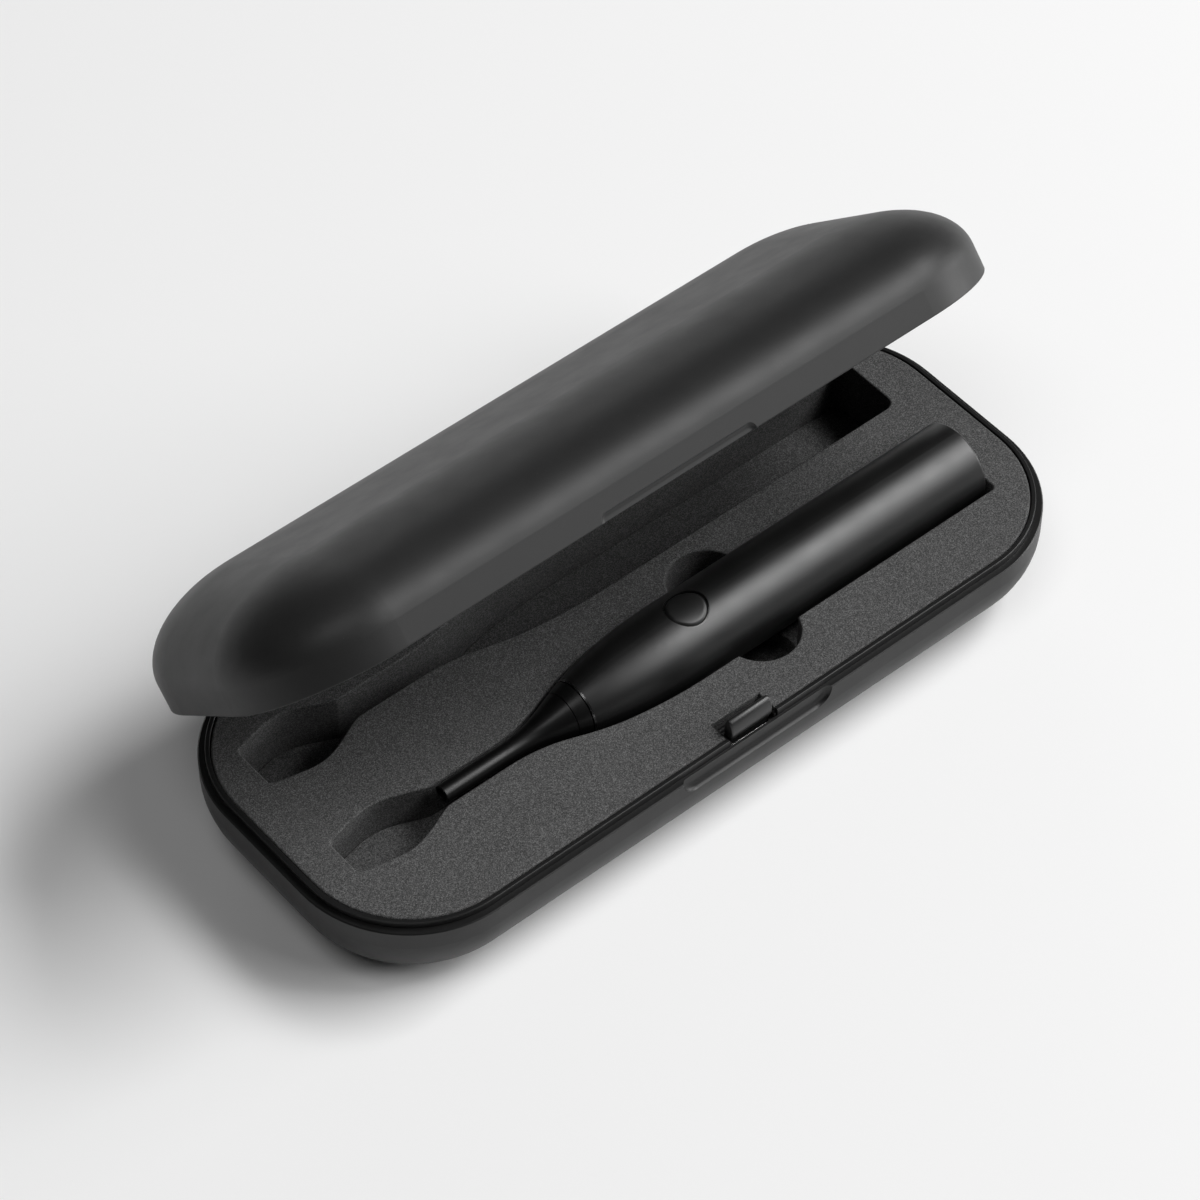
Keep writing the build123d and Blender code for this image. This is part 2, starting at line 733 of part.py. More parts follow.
trim_form = brush_slice(ring_x, shell_start_x)
trim_hollow = round_piece(ring_x, shell_start_x, nose_bore)
with BuildPart() as trim_ring:
    add(trim_form)
    add(trim_hollow, mode=Mode.SUBTRACT)
trim_ring.part.label = "trim_ring"
export_step(trim_ring.part, "parts/trim_ring.step")

cap_radius = handle_bore - fit_gap
groove_x = cap_start_x + cap_length / 2
with BuildPart() as end_cap:
    with BuildSketch(brush_section(cap_start_x)):
        Circle(cap_radius)
    extrude(amount=cap_length)
    with BuildSketch(brush_section(groove_x)):
        Circle(cap_radius + seal_groove)
        Circle(cap_radius - seal_groove, mode=Mode.SUBTRACT)
    extrude(amount=seal_groove_width / 2, both=True, mode=Mode.SUBTRACT)
end_cap.part.label = "end_cap"
export_step(end_cap.part, "parts/end_cap.step")

with BuildPart() as end_cap_seal:
    with BuildSketch(brush_side):
        with Locations((groove_x, cap_radius - seal_groove / 2)):
            Circle(seal_section - fit_gap / 2)
    revolve(axis=brush_axis)
end_cap_seal.part.label = "end_cap_seal"
export_step(end_cap_seal.part, "parts/end_cap_seal.step")

# ================================================================ toothbrush, power
with BuildPart() as charging_coil:
    with BuildSketch(brush_section(coil_start_x)):
        Circle(coil_radius)
        Circle(core_radius + coil_gap, mode=Mode.SUBTRACT)
    extrude(amount=coil_length)
charging_coil.part.label = "charging_coil"
export_step(charging_coil.part, "parts/charging_coil.step")

with BuildPart() as coil_core:
    with BuildSketch(brush_section(coil_start_x)):
        Circle(core_radius)
    extrude(amount=coil_length)
coil_core.part.label = "coil_core"
export_step(coil_core.part, "parts/coil_core.step")

with BuildPart() as battery_cell:
    with BuildSketch(brush_section(battery_x)):
        Circle(battery_radius)
    extrude(amount=battery_length)
    ends = battery_cell.edges().filter_by(GeomType.CIRCLE)
    fillet(ends, radius=battery_break)
battery_cell.part.label = "battery_cell"
export_step(battery_cell.part, "parts/battery_cell.step")

with BuildPart() as battery_contacts:
    for start in (battery_x - stack_gap - contact_thickness, battery_end_x + stack_gap):
        with BuildSketch(brush_section(start)):
            Rectangle(contact_width, contact_height)
        extrude(amount=contact_thickness)
battery_contacts.part.label = "battery_contacts"
export_step(battery_contacts.part, "parts/battery_contacts.step")

# ================================================================ toothbrush, chassis
chassis_start_x = bore_step_x + soft_gap
contact_reach = contact_thickness + 2 * stack_gap
bulkheads = (battery_x - contact_reach - bulkhead_thickness, battery_end_x + contact_reach)
board_x = chassis_start_x + soft_gap
rail_centre = board_width / 2 - rail_thickness / 2 + rail_outset
chassis_room = round_piece(chassis_start_x, chassis_end_x, chassis_radius)

with BuildPart() as chassis:
    with BuildSketch(brush_section(chassis_start_x)):
        Circle(chassis_radius)
        Circle(chassis_radius - chassis_wall, mode=Mode.SUBTRACT)
    extrude(amount=chassis_end_x - chassis_start_x)
    for start in bulkheads:
        with BuildSketch(brush_section(start)):
            Circle(chassis_radius)
        extrude(amount=bulkhead_thickness)
    for index in range(saddle_count):
        saddle_x = battery_x + (index + 0.5) * battery_length / saddle_count
        with BuildSketch(brush_section(saddle_x)):
            Circle(chassis_radius)
            Circle(battery_radius + fit_gap, mode=Mode.SUBTRACT)
        extrude(amount=saddle_width / 2, both=True)
    split(bisect_by=Plane.XY.offset(axis_z + chassis_top), keep=Keep.BOTTOM)
    with BuildSketch(Plane.XY.offset(axis_z + board_lift)):
        for side in (-1, 1):
            with Locations((board_x + board_length / 2, brush_y + side * rail_centre)):
                Rectangle(board_length, rail_thickness)
    extrude(amount=-board_lift - chassis_radius)
    add(chassis_room, mode=Mode.INTERSECT)
    with BuildSketch(Plane.XY.offset(axis_z + board_lift)):
        for side in (-1, 1):
            with Locations((board_x + board_length / 2 + side * screw_spread, brush_y + side * screw_y)):
                Circle(screw_radius + fit_gap)
    extrude(amount=-screw_length, mode=Mode.SUBTRACT)
chassis.part.label = "chassis"
export_step(chassis.part, "parts/chassis.step")

with BuildPart() as circuit_board:
    with BuildSketch(Plane.XY.offset(axis_z + board_lift)):
        with Locations((board_x + board_length / 2, brush_y)):
            Rectangle(board_length, board_width)
            for side in (-1, 1):
                with Locations((side * screw_spread, side * screw_y)):
                    Circle(screw_radius + fit_gap, mode=Mode.SUBTRACT)
    extrude(amount=board_thickness)
circuit_board.part.label = "circuit_board"
export_step(circuit_board.part, "parts/circuit_board.step")

board_top = axis_z + board_lift + board_thickness
with BuildPart() as board_screws:
    with BuildSketch(Plane.XY.offset(board_top)):
        with Locations((board_x + board_length / 2, brush_y)):
            for side in (-1, 1):
                with Locations((side * screw_spread, side * screw_y)):
                    Circle(screw_head_radius)
    extrude(amount=screw_head_height)
    heads = board_screws.faces().group_by(Axis.Z)[0]
    for head in heads:
        with BuildSketch(Plane(head)):
            Circle(screw_radius)
        extrude(amount=screw_length)
board_screws.part.label = "board_screws"
export_step(board_screws.part, "parts/board_screws.step")

# ================================================================ toothbrush, power button
with BuildPart() as tact_switch:
    with BuildSketch(Plane.XY.offset(board_top)):
        with Locations((button_x, brush_y)):
            Rectangle(switch_side, switch_side)
    extrude(amount=switch_height)
    with BuildSketch(Plane.XY.offset(board_top + switch_height)):
        with Locations((button_x, brush_y)):
            Circle(plunger_radius)
    extrude(amount=plunger_height)
tact_switch.part.label = "tact_switch"
export_step(tact_switch.part, "parts/tact_switch.step")

with BuildPart() as button_membrane:
    with BuildSketch(button_plane.offset(ring_base - fit_gap)):
        with Locations((button_x, brush_y)):
            Circle(ring_outer_radius)
    extrude(amount=-membrane_thickness)
button_membrane.part.label = "button_membrane"
export_step(button_membrane.part, "parts/button_membrane.step")

handle_around_button = brush_slice(button_x - handle_radius, button_x + handle_radius)
flange_radius = button_radius + flange_reach
with BuildPart() as button_ring:
    with BuildSketch(button_plane.offset(ring_base)):
        with Locations((button_x, brush_y)):
            Circle(ring_outer_radius)
            Circle(button_radius + button_slot, mode=Mode.SUBTRACT)
    extrude(amount=handle_radius)
    with BuildSketch(button_plane.offset(ring_base)):
        with Locations((button_x, brush_y)):
            Circle(flange_radius + flange_gap)
    extrude(amount=button_base + flange_thickness + flange_gap - ring_base, mode=Mode.SUBTRACT)
    add(handle_around_button, mode=Mode.INTERSECT)
button_ring.part.label = "button_ring"
export_step(button_ring.part, "parts/button_ring.step")

with BuildPart() as power_button:
    with BuildSketch(button_plane.offset(button_base)):
        with Locations((button_x, brush_y)):
            Circle(button_radius)
    extrude(amount=handle_radius)
    with BuildSketch(button_plane.offset(button_base)):
        with Locations((button_x, brush_y)):
            Circle(flange_radius)
    extrude(amount=flange_thickness)
    add(handle_around_button, mode=Mode.INTERSECT)
    with Locations((button_x, brush_y, axis_z + handle_radius - dish_depth + dish_radius)):
        Sphere(dish_radius, mode=Mode.SUBTRACT)
power_button.part.label = "power_button"
export_step(power_button.part, "parts/power_button.step")

# ================================================================ toothbrush, drive
motor_start_x = front_bore_x + 2 * stack_gap
motor_end_x = motor_start_x + motor_length
motor_bore = motor_radius - motor_wall
with BuildPart() as motor_housing:
    with BuildSketch(brush_section(motor_start_x)):
        Circle(motor_radius)
        Circle(shaft_radius + soft_gap, mode=Mode.SUBTRACT)
    extrude(amount=motor_wall)
    with BuildSketch(brush_section(motor_start_x)):
        Circle(motor_radius)
        Circle(motor_bore, mode=Mode.SUBTRACT)
    extrude(amount=motor_length)
motor_housing.part.label = "motor_housing"
export_step(motor_housing.part, "parts/motor_housing.step")

rear_bushing_x = motor_end_x - bushing_length
front_bushing_x = front_bore_x - bushing_length - soft_gap
with BuildPart() as shaft_bushings:
    for start, outer in (
        (front_bushing_x, nose_bore - fit_gap),
        (rear_bushing_x, motor_bore - fit_gap),
    ):
        with BuildSketch(brush_section(start)):
            Circle(outer)
            Circle(shaft_radius + running_gap, mode=Mode.SUBTRACT)
        extrude(amount=bushing_length)
shaft_bushings.part.label = "shaft_bushings"
export_step(shaft_bushings.part, "parts/shaft_bushings.step")

with BuildPart() as shaft_seal:
    with BuildSketch(brush_section(front_bushing_x - stack_gap)):
        Circle(nose_bore - fit_gap)
        Circle(shaft_radius + running_gap, mode=Mode.SUBTRACT)
    extrude(amount=-seal_length)
shaft_seal.part.label = "shaft_seal"
export_step(shaft_seal.part, "parts/shaft_seal.step")

winding_start_x = motor_start_x + motor_wall + stack_gap
with BuildPart() as motor_windings:
    with BuildSketch(brush_section(winding_start_x)):
        Circle(motor_bore - fit_gap)
        Circle(motor_bore - fit_gap - winding_wall, mode=Mode.SUBTRACT)
    extrude(amount=rear_bushing_x - stack_gap - winding_start_x)
motor_windings.part.label = "motor_windings"
export_step(motor_windings.part, "parts/motor_windings.step")

with BuildPart() as motor_magnet:
    with BuildSketch(brush_section(winding_start_x + magnet_setback)):
        Circle(magnet_radius)
        Circle(shaft_radius + fit_gap, mode=Mode.SUBTRACT)
    extrude(amount=rear_bushing_x - winding_start_x - 2 * magnet_setback)
motor_magnet.part.label = "motor_magnet"
export_step(motor_magnet.part, "parts/motor_magnet.step")

shaft_start_x = collar_x - shaft_reach
shaft_end_x = motor_end_x - soft_gap
with BuildPart() as drive_shaft:
    with BuildSketch(brush_section(shaft_start_x)):
        Circle(shaft_radius)
    extrude(amount=shaft_end_x - shaft_start_x)
drive_shaft.part.label = "drive_shaft"
export_step(drive_shaft.part, "parts/drive_shaft.step")

# ================================================================ toothbrush, neck
collar_end_x = ring_x - seam_gap
collar_form = brush_slice(collar_x, collar_end_x)
collar_bore = round_piece(collar_x, collar_end_x, shaft_radius + fit_gap)
with BuildPart() as head_collar:
    add(collar_form)
    add(collar_bore, mode=Mode.SUBTRACT)
head_collar.part.label = "head_collar"
export_step(head_collar.part, "parts/head_collar.step")

stem_end_x = collar_x - collar_gap
stem_form = brush_slice(stem_tip_x, stem_end_x)
stem_bore = round_piece(shaft_start_x - stack_gap, stem_end_x, shaft_radius + fit_gap)
stem_mouth = round_piece(stem_tip_x, stem_tip_x + tip_bore_depth, tip_bore)
with BuildPart() as brush_stem:
    add(stem_form)
    add(stem_bore, mode=Mode.SUBTRACT)
    add(stem_mouth, mode=Mode.SUBTRACT)
    fillet(brush_stem.edges().filter_by(GeomType.CIRCLE).group_by(Axis.X)[0], radius=stem_break)
brush_stem.part.label = "brush_stem"
export_step(brush_stem.part, "parts/brush_stem.step")
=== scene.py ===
import json
import math

import bmesh
import bpy
import numpy as np
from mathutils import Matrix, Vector


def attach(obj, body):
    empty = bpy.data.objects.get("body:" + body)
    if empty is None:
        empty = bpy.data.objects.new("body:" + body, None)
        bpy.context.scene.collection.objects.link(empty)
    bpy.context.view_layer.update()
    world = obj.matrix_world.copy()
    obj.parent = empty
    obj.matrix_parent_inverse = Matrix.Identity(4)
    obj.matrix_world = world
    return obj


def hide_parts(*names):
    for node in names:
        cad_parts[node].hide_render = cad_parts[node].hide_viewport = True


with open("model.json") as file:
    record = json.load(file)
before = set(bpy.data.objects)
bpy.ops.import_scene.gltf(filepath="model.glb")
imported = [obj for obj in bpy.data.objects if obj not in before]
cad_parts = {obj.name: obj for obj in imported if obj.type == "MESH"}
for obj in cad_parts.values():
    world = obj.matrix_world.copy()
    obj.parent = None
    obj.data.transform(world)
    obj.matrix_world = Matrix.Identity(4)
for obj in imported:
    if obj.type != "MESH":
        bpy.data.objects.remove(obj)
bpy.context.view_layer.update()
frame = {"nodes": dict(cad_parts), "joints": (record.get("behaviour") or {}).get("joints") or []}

# An electric toothbrush in its travel case, dressed for rendering. The case, most of the latch,
# the toothbrush and the works inside it keep their moulded shapes and are given their finishes
# here. The two foam pieces are cut afresh, with soft edges and separate floor layers. The
# button's cap, the ring round it and the catch are shaped afresh, with their fine roundings.
# Sizes are in millimetres in the frame of the case, or of the shut lid, until they are placed.
MM = 0.001

# ---------------------------------------------------------------- foam sizes
FOAM_TOP = 25.6
FOAM_HALF_LENGTH = 106.75
FOAM_HALF_WIDTH = 43.35
FOAM_CORNER = 28.65
FOAM_BOTTOM = 2.4
FOAM_UNDER_RADIUS = 15.0
LATCH_NOTCH_HALF = 7.45
LATCH_NOTCH_BACK = -38.0
LATCH_NOTCH_FLOOR = 17.8
FOAM_PLAN = (FOAM_HALF_LENGTH, FOAM_HALF_WIDTH, FOAM_CORNER)
LID_FACE = 27.6
LID_FOAM_HALF_LENGTH = 108.0
LID_FOAM_HALF_WIDTH = 44.6
LID_FOAM_CORNER = 29.9
LID_FOAM_PLAN = (LID_FOAM_HALF_LENGTH, LID_FOAM_HALF_WIDTH, LID_FOAM_CORNER)
LID_CROWN_START = 30.9
LID_CROWN_TOP = 46.0
LID_CROWN_RUN = 27.9
LID_NOTCH_HALF = 8.0
LID_NOTCH_BACK = -37.0
CUT_EDGE = 0.55                # softness of an edge cut in the foam
EDGE_STEPS = 5
UNDER_STEPS = 9                # rings over the bed's rounded underside
CROWN_STEPS = 13               # and over the lining's crown
CORNER_STEPS = 17              # points round a corner of an outline
SOFT_CORNER_STEPS = 6          # and round a small soft corner of a pocket
LAYER_GAP = 0.2                # between a pocket's wall and its floor layer
LAYER_EDGE = 0.25
FOAM_SHARP_ANGLE = math.radians(50)      # a foam edge that turns further than this is crisp

# ---------------------------------------------------------------- pockets in the foam
BUTT_END = 94.7
HEAD_END = -97.1
BRUSH_END_HALF = 12.7          # half width of the front pocket round the handle
BRUSH_SLOT_HALF = 3.45         # and round the stem
SPARE_END_HALF = 10.3
SPARE_SLOT_HALF = 3.5
SPARE_HEAD_WIDENING = 0.75
POCKET_CORNER = 1.3
HEAD_CORNER = 1.6
HEAD_CORNER_LEAD = 0.3         # points this near the head's corner are left to the corner
HEAD_CORNER_FLARE = 0.2
TAPER_X = 2.0
STEM_START = -52.0
HEAD_NECK = -69.5
HEAD_WIDE = -82.5
HEAD_WIDE_HALF = 7.85
HEAD_END_HALF = 5.7
HEAD_FLARE = 0.35
HEAD_CLOSE = -0.12
HANDLE_RADIUS = 11.2
STEM_RADIUS = 2.4
SHOULDERS = ((-16.0, 10.0), (-28.5, 7.4), (-38.5, 4.1))     # x, radius of the brush there
SPARE_CORNER = 3.0
NOTCH_X = 20.7
NOTCH_OFFSET = 10.0
NOTCH_RADIUS = 9.7
NOTCH_SOFTNESS = 0.7           # rounding where a thumb notch meets the pocket wall
NOTCH_STEPS = 36
NOTCH_NEAREST = 0.8            # an inward notch stays this far from the pocket's middle
TAPER_STEP = 1.0               # between the points of the taper's smooth side
HEAD_STEP = 0.8                # and of the head's
SAME_POINT = 1e-6              # points of a loop closer than this are one
SAME_DIGITS = 3                # and so are a mesh's points that agree to this many digits
BRUSH_Y = -13.6
SPARE_Y = 20.5
BED_CUT_FLOOR = 8.0            # underside of the pockets' upper layer
BED_DEEP = 8.5
BED_BRUSH_FLOOR = 13.6
BED_HEAD_FLOOR = 14.9
BED_SPARE_HEAD_FLOOR = 11.7
LID_HANDLE_ROOF = 37.8
LID_HEAD_ROOF = 33.6
LID_CUT_DEPTH = 0.5            # the lining's cut runs this far past the layer in it
LAYER_SEAT = 0.05              # a floor layer, clear of the one that it lies on

# ---------------------------------------------------------------- button and catch
BUTTON_X = 5.6
BRUSH_AXIS_Z = 25.1
CAP_FACE = 4.5                 # radius of the cap's face
CAP_SIDE = 5.15                # radius of the cap outside its bevel
CAP_DISH = 0.12
CAP_RISE = 0.02                # the face's rim, under the line of the handle
CAP_BEVEL = 0.5
CAP_FACE_RINGS = np.linspace(0.04, 1, 9)       # as shares of the face's radius
# The bevel's curve: how far out a ring lies, and how far down, as shares of the bevel.
CAP_BEVEL_CURVE = ((0.12, 0.04), (0.3, 0.17), (0.55, 0.42), (0.8, 0.7), (0.94, 0.88), (1.0, 1.0))
CAP_SKIRT = 1.6
GAP_RING_OUTER = 5.5
GAP_RING_INNER = 5.3
GAP_RING_TOP = 0.25            # the ring's top, under the line of the handle
BUTTON_ROUND = 72
CATCH_HALF = 6.3
CATCH_MIDDLE_Y = -42.5
CATCH_MIDDLE_Z = 26.6
CATCH_FORWARD = 1.8            # bulge of the bar's front
CATCH_BACKWARD = 1.4           # and of its back
CATCH_ROUND = 3.4              # height of its rounded top
CATCH_UNDERCUT = 1.15          # angle at which the front's curve runs into the stem
CATCH_FOOT_Z = 19.6
CATCH_END = 0.6                # softness of the bar's ends
CATCH_FRONT_STEPS = 26
CATCH_BACK_STEPS = 14
CATCH_END_STEPS = 5
PART_SHARP_ANGLE = math.radians(40)      # and an edge of the button or the catch

# ---------------------------------------------------------------- lid on its hinge
hinge = next(j for j in frame["joints"] if j["name"] == "lid_hinge")
HINGE_Y = hinge["pos_m"][1] / MM
HINGE_Z = hinge["pos_m"][2] / MM
LID_AJAR = math.radians(-hinge["range_deg"][0])


def in_case(x, y, z):
    """A point of the case, in metres."""
    return Vector((x, y, z)) * MM


def in_lid(x, y, z):
    """A point of the shut lid, turned back about the hinge to where the lid stands."""
    back, up = y - HINGE_Y, z - HINGE_Z
    turned_y = HINGE_Y + back * math.cos(LID_AJAR) + up * math.sin(LID_AJAR)
    turned_z = HINGE_Z - back * math.sin(LID_AJAR) + up * math.cos(LID_AJAR)
    return Vector((x, turned_y, turned_z)) * MM


# ================================================================ outlines
def soft_corner(start, tip, end):
    """Points round a corner, from start to end, pulled towards its tip."""
    a, b, c = (np.array(p, float) for p in (start, tip, end))
    shares = np.linspace(0, 1, SOFT_CORNER_STEPS)
    return [tuple((1 - t) ** 2 * a + 2 * t * (1 - t) * b + t * t * c) for t in shares]


def smooth_run(knots, slope_in, slope_out, step):
    """Points along the smooth curve through knots that run towards -X, with set end slopes."""
    u = -np.array([k[0] for k in knots], float)
    v = np.array([k[1] for k in knots], float)
    gap = np.diff(u)
    size = len(u)
    system = np.eye(size)
    right = np.zeros(size)
    right[0], right[-1] = slope_in, slope_out
    for i in range(1, size - 1):
        system[i, i - 1:i + 2] = 1 / gap[i - 1], 2 / gap[i - 1] + 2 / gap[i], 1 / gap[i]
        right[i] = 3 * ((v[i] - v[i - 1]) / gap[i - 1] ** 2 + (v[i + 1] - v[i]) / gap[i] ** 2)
    slope = np.linalg.solve(system, right)
    points = []
    for i in range(size - 1):
        for t in np.linspace(0, 1, max(3, round(gap[i] / step)), endpoint=False):
            height = (
                (2 * t**3 - 3 * t**2 + 1) * v[i]
                + (t**3 - 2 * t**2 + t) * gap[i] * slope[i]
                + (3 * t**2 - 2 * t**3) * v[i + 1]
                + (t**3 - t**2) * gap[i] * slope[i + 1]
            )
            points.append((-(u[i] + t * gap[i]), height))
    return points + [tuple(knots[-1])]


def thumb_notch(wall, bulge):
    """A thumb notch's arc along a pocket wall: outwards with bulge 1, inwards with -1."""
    rise = math.asin((wall - NOTCH_OFFSET) / NOTCH_RADIUS)
    trim = bulge * NOTCH_SOFTNESS / NOTCH_RADIUS
    last = math.pi - rise if bulge > 0 else -math.pi - rise
    arc = []
    for a in np.linspace(rise + trim, last - trim, NOTCH_STEPS):
        y = max(NOTCH_OFFSET + NOTCH_RADIUS * math.sin(a), NOTCH_NEAREST)
        arc.append((NOTCH_X + NOTCH_RADIUS * math.cos(a), y))
    reach = NOTCH_RADIUS * math.cos(rise)
    near, far = NOTCH_X + reach, NOTCH_X - reach
    entry = soft_corner((near + NOTCH_SOFTNESS, wall), (near, wall), arc[0])
    leave = soft_corner(arc[-1], (far, wall), (far - NOTCH_SOFTNESS, wall))
    return entry + arc[1:-1] + leave


def pocket(centre_y, end_half, slot_half, head_widening=0.0, notch=0, corner=POCKET_CORNER):
    """Outline of a brush pocket: handle, taper, slot and head. Notch 1 or -1 adds the notches."""

    def half_at(radius):
        share = (radius - STEM_RADIUS) / (HANDLE_RADIUS - STEM_RADIUS)
        return slot_half + share * (end_half - slot_half)

    side = soft_corner(
        (BUTT_END, end_half - corner), (BUTT_END, end_half), (BUTT_END - corner, end_half)
    )
    if notch:
        side += thumb_notch(end_half, notch)
    shoulders = [(x, half_at(radius)) for x, radius in SHOULDERS]
    side += smooth_run([(TAPER_X, end_half), *shoulders, (STEM_START, slot_half)], 0, 0, TAPER_STEP)
    head = smooth_run(
        [
            (HEAD_NECK, slot_half),
            (HEAD_WIDE, HEAD_WIDE_HALF + head_widening),
            (HEAD_END, HEAD_END_HALF + head_widening),
        ],
        HEAD_FLARE,
        HEAD_CLOSE,
        HEAD_STEP,
    )
    end_y = head[-1][1]
    corner_x = HEAD_END + HEAD_CORNER
    side += [p for p in head if p[0] > corner_x + HEAD_CORNER_LEAD]
    side += soft_corner(
        (corner_x, end_y + HEAD_CORNER_FLARE), (HEAD_END, end_y), (HEAD_END, end_y - HEAD_CORNER)
    )
    loop = side + [(x, -y) for x, y in reversed(side)]
    return [(x, y + centre_y) for x, y in loop]


def brush_pocket(notch=0):
    """The outline of the front pocket."""
    return pocket(BRUSH_Y, BRUSH_END_HALF, BRUSH_SLOT_HALF, notch=notch)


def spare_pocket(corner=POCKET_CORNER):
    """The outline of the pocket behind it."""
    return pocket(SPARE_Y, SPARE_END_HALF, SPARE_SLOT_HALF, SPARE_HEAD_WIDENING, corner=corner)


def outline(plan, notch_half, notch_back, drawn_in=0.0):
    """Rounded rectangle with a notch in the middle of its front, anticlockwise, drawn in evenly."""
    half_length, half_width, radius = (size - drawn_in for size in plan)
    points = []
    for quarter, (sx, sy) in enumerate(((1, -1), (1, 1), (-1, 1), (-1, -1))):
        for a in np.linspace(0, math.pi / 2, CORNER_STEPS):
            turn = a + (quarter - 1) * math.pi / 2
            points.append((
                sx * (half_length - radius) + radius * math.cos(turn),
                sy * (half_width - radius) + radius * math.sin(turn),
            ))
    back = max(notch_back, -half_width)
    points += [(-notch_half, -half_width), (-notch_half, back)]
    points += [(notch_half, back), (notch_half, -half_width)]
    return points


def inset(loop, distance):
    """The loop moved inwards by distance, or outwards where it is negative."""

    def normals(steps):
        return np.stack([-steps[:, 1], steps[:, 0]], 1) / np.linalg.norm(steps, axis=1)[:, None]

    points = np.array(loop, float)
    before = normals(points - np.roll(points, 1, 0))
    after = normals(np.roll(points, -1, 0) - points)
    shift = (before + after) / (1 + (before * after).sum(1))[:, None]
    return [tuple(q) for q in points + distance * shift]


def keep_side(loop, x, beyond):
    """The part of a loop beyond x, on the +X side (beyond 1) or on the -X side (beyond -1)."""
    kept = []
    for (ax, ay), (bx, by) in zip(loop, loop[1:] + loop[:1]):
        a_in, b_in = (ax - x) * beyond >= 0, (bx - x) * beyond >= 0
        if a_in:
            kept.append((ax, ay))
        if a_in != b_in:
            kept.append((x, ay + (by - ay) * (x - ax) / (bx - ax)))
    return [p for p, q in zip(kept, kept[1:] + kept[:1]) if math.dist(p, q) > SAME_POINT]


# ================================================================ pieces made here
def join_rings(mesh, near, far):
    """A band of faces between two rings with as many points, which may share some of them."""
    for i in range(len(near)):
        j = (i + 1) % len(near)
        corners = list(dict.fromkeys((near[i], near[j], far[j], far[i])))
        if len(corners) > 2:
            mesh.faces.new(corners)


def new_piece(mesh, name, finish, sharp_angle):
    """An object made from the mesh in its finish, shaded smooth between its sharp edges."""
    bmesh.ops.recalc_face_normals(mesh, faces=mesh.faces)
    for face in mesh.faces:
        face.smooth = True
    data = bpy.data.meshes.new(name)
    mesh.to_mesh(data)
    mesh.free()
    data.set_sharp_from_angle(angle=sharp_angle)
    data.materials.append(finish)
    piece = bpy.data.objects.new(name, data)
    bpy.context.scene.collection.objects.link(piece)
    return piece


# ================================================================ foam pieces
class Cut:
    """A piece of foam as it is cut: rings of points joined by bands and closed by caps."""

    def __init__(self, place):
        self.mesh = bmesh.new()
        self.place = place
        self.found = {}

    def point(self, x, y, z):
        """The mesh's point at a place, made where there is none yet."""
        key = tuple(round(value, SAME_DIGITS) for value in (x, y, z))
        if key not in self.found:
            self.found[key] = self.mesh.verts.new(self.place(x, y, z))
        return self.found[key]

    def ring(self, loop, z):
        return [self.point(x, y, z) for x, y in loop]

    def bands(self, rings):
        """Faces between each ring and the next."""
        for near, far in zip(rings, rings[1:]):
            join_rings(self.mesh, near, far)

    def cap(self, *rings):
        """Faces across a ring, or between a ring and the rings inside it."""
        edges = []
        for ring in rings:
            for a, b in zip(ring, ring[1:] + ring[:1]):
                if a is not b:
                    edges.append(self.mesh.edges.get((a, b)) or self.mesh.edges.new((a, b)))
        bmesh.ops.triangle_fill(self.mesh, use_beauty=True, edges=list(dict.fromkeys(edges)))

    def soft_edge(self, loop, face, depth_sign, inward_sign):
        """Rings from a flat face over a soft edge to the wall."""
        return [
            self.ring(
                inset(loop, inward_sign * CUT_EDGE * (1 - math.sin(a))),
                face + depth_sign * CUT_EDGE * (1 - math.cos(a)),
            )
            for a in np.linspace(0, math.pi / 2, EDGE_STEPS)
        ]

    def layer(self, loop, near, far):
        """A closed plate that fills the loop with a thin gap all round."""
        toward_far = math.copysign(LAYER_EDGE, far - near)
        rings = [
            self.ring(inset(loop, LAYER_GAP + LAYER_EDGE), near),
            self.ring(inset(loop, LAYER_GAP), near + toward_far),
            self.ring(inset(loop, LAYER_GAP), far),
        ]
        self.bands(rings)
        self.cap(rings[0])
        self.cap(rings[-1])

    def finish(self, name, finish, body, node):
        piece = new_piece(self.mesh, name, finish, FOAM_SHARP_ANGLE)
        even = piece.modifiers.new("even shading", "WEIGHTED_NORMAL")
        even.keep_sharp = True
        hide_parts(node)
        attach(piece, body)


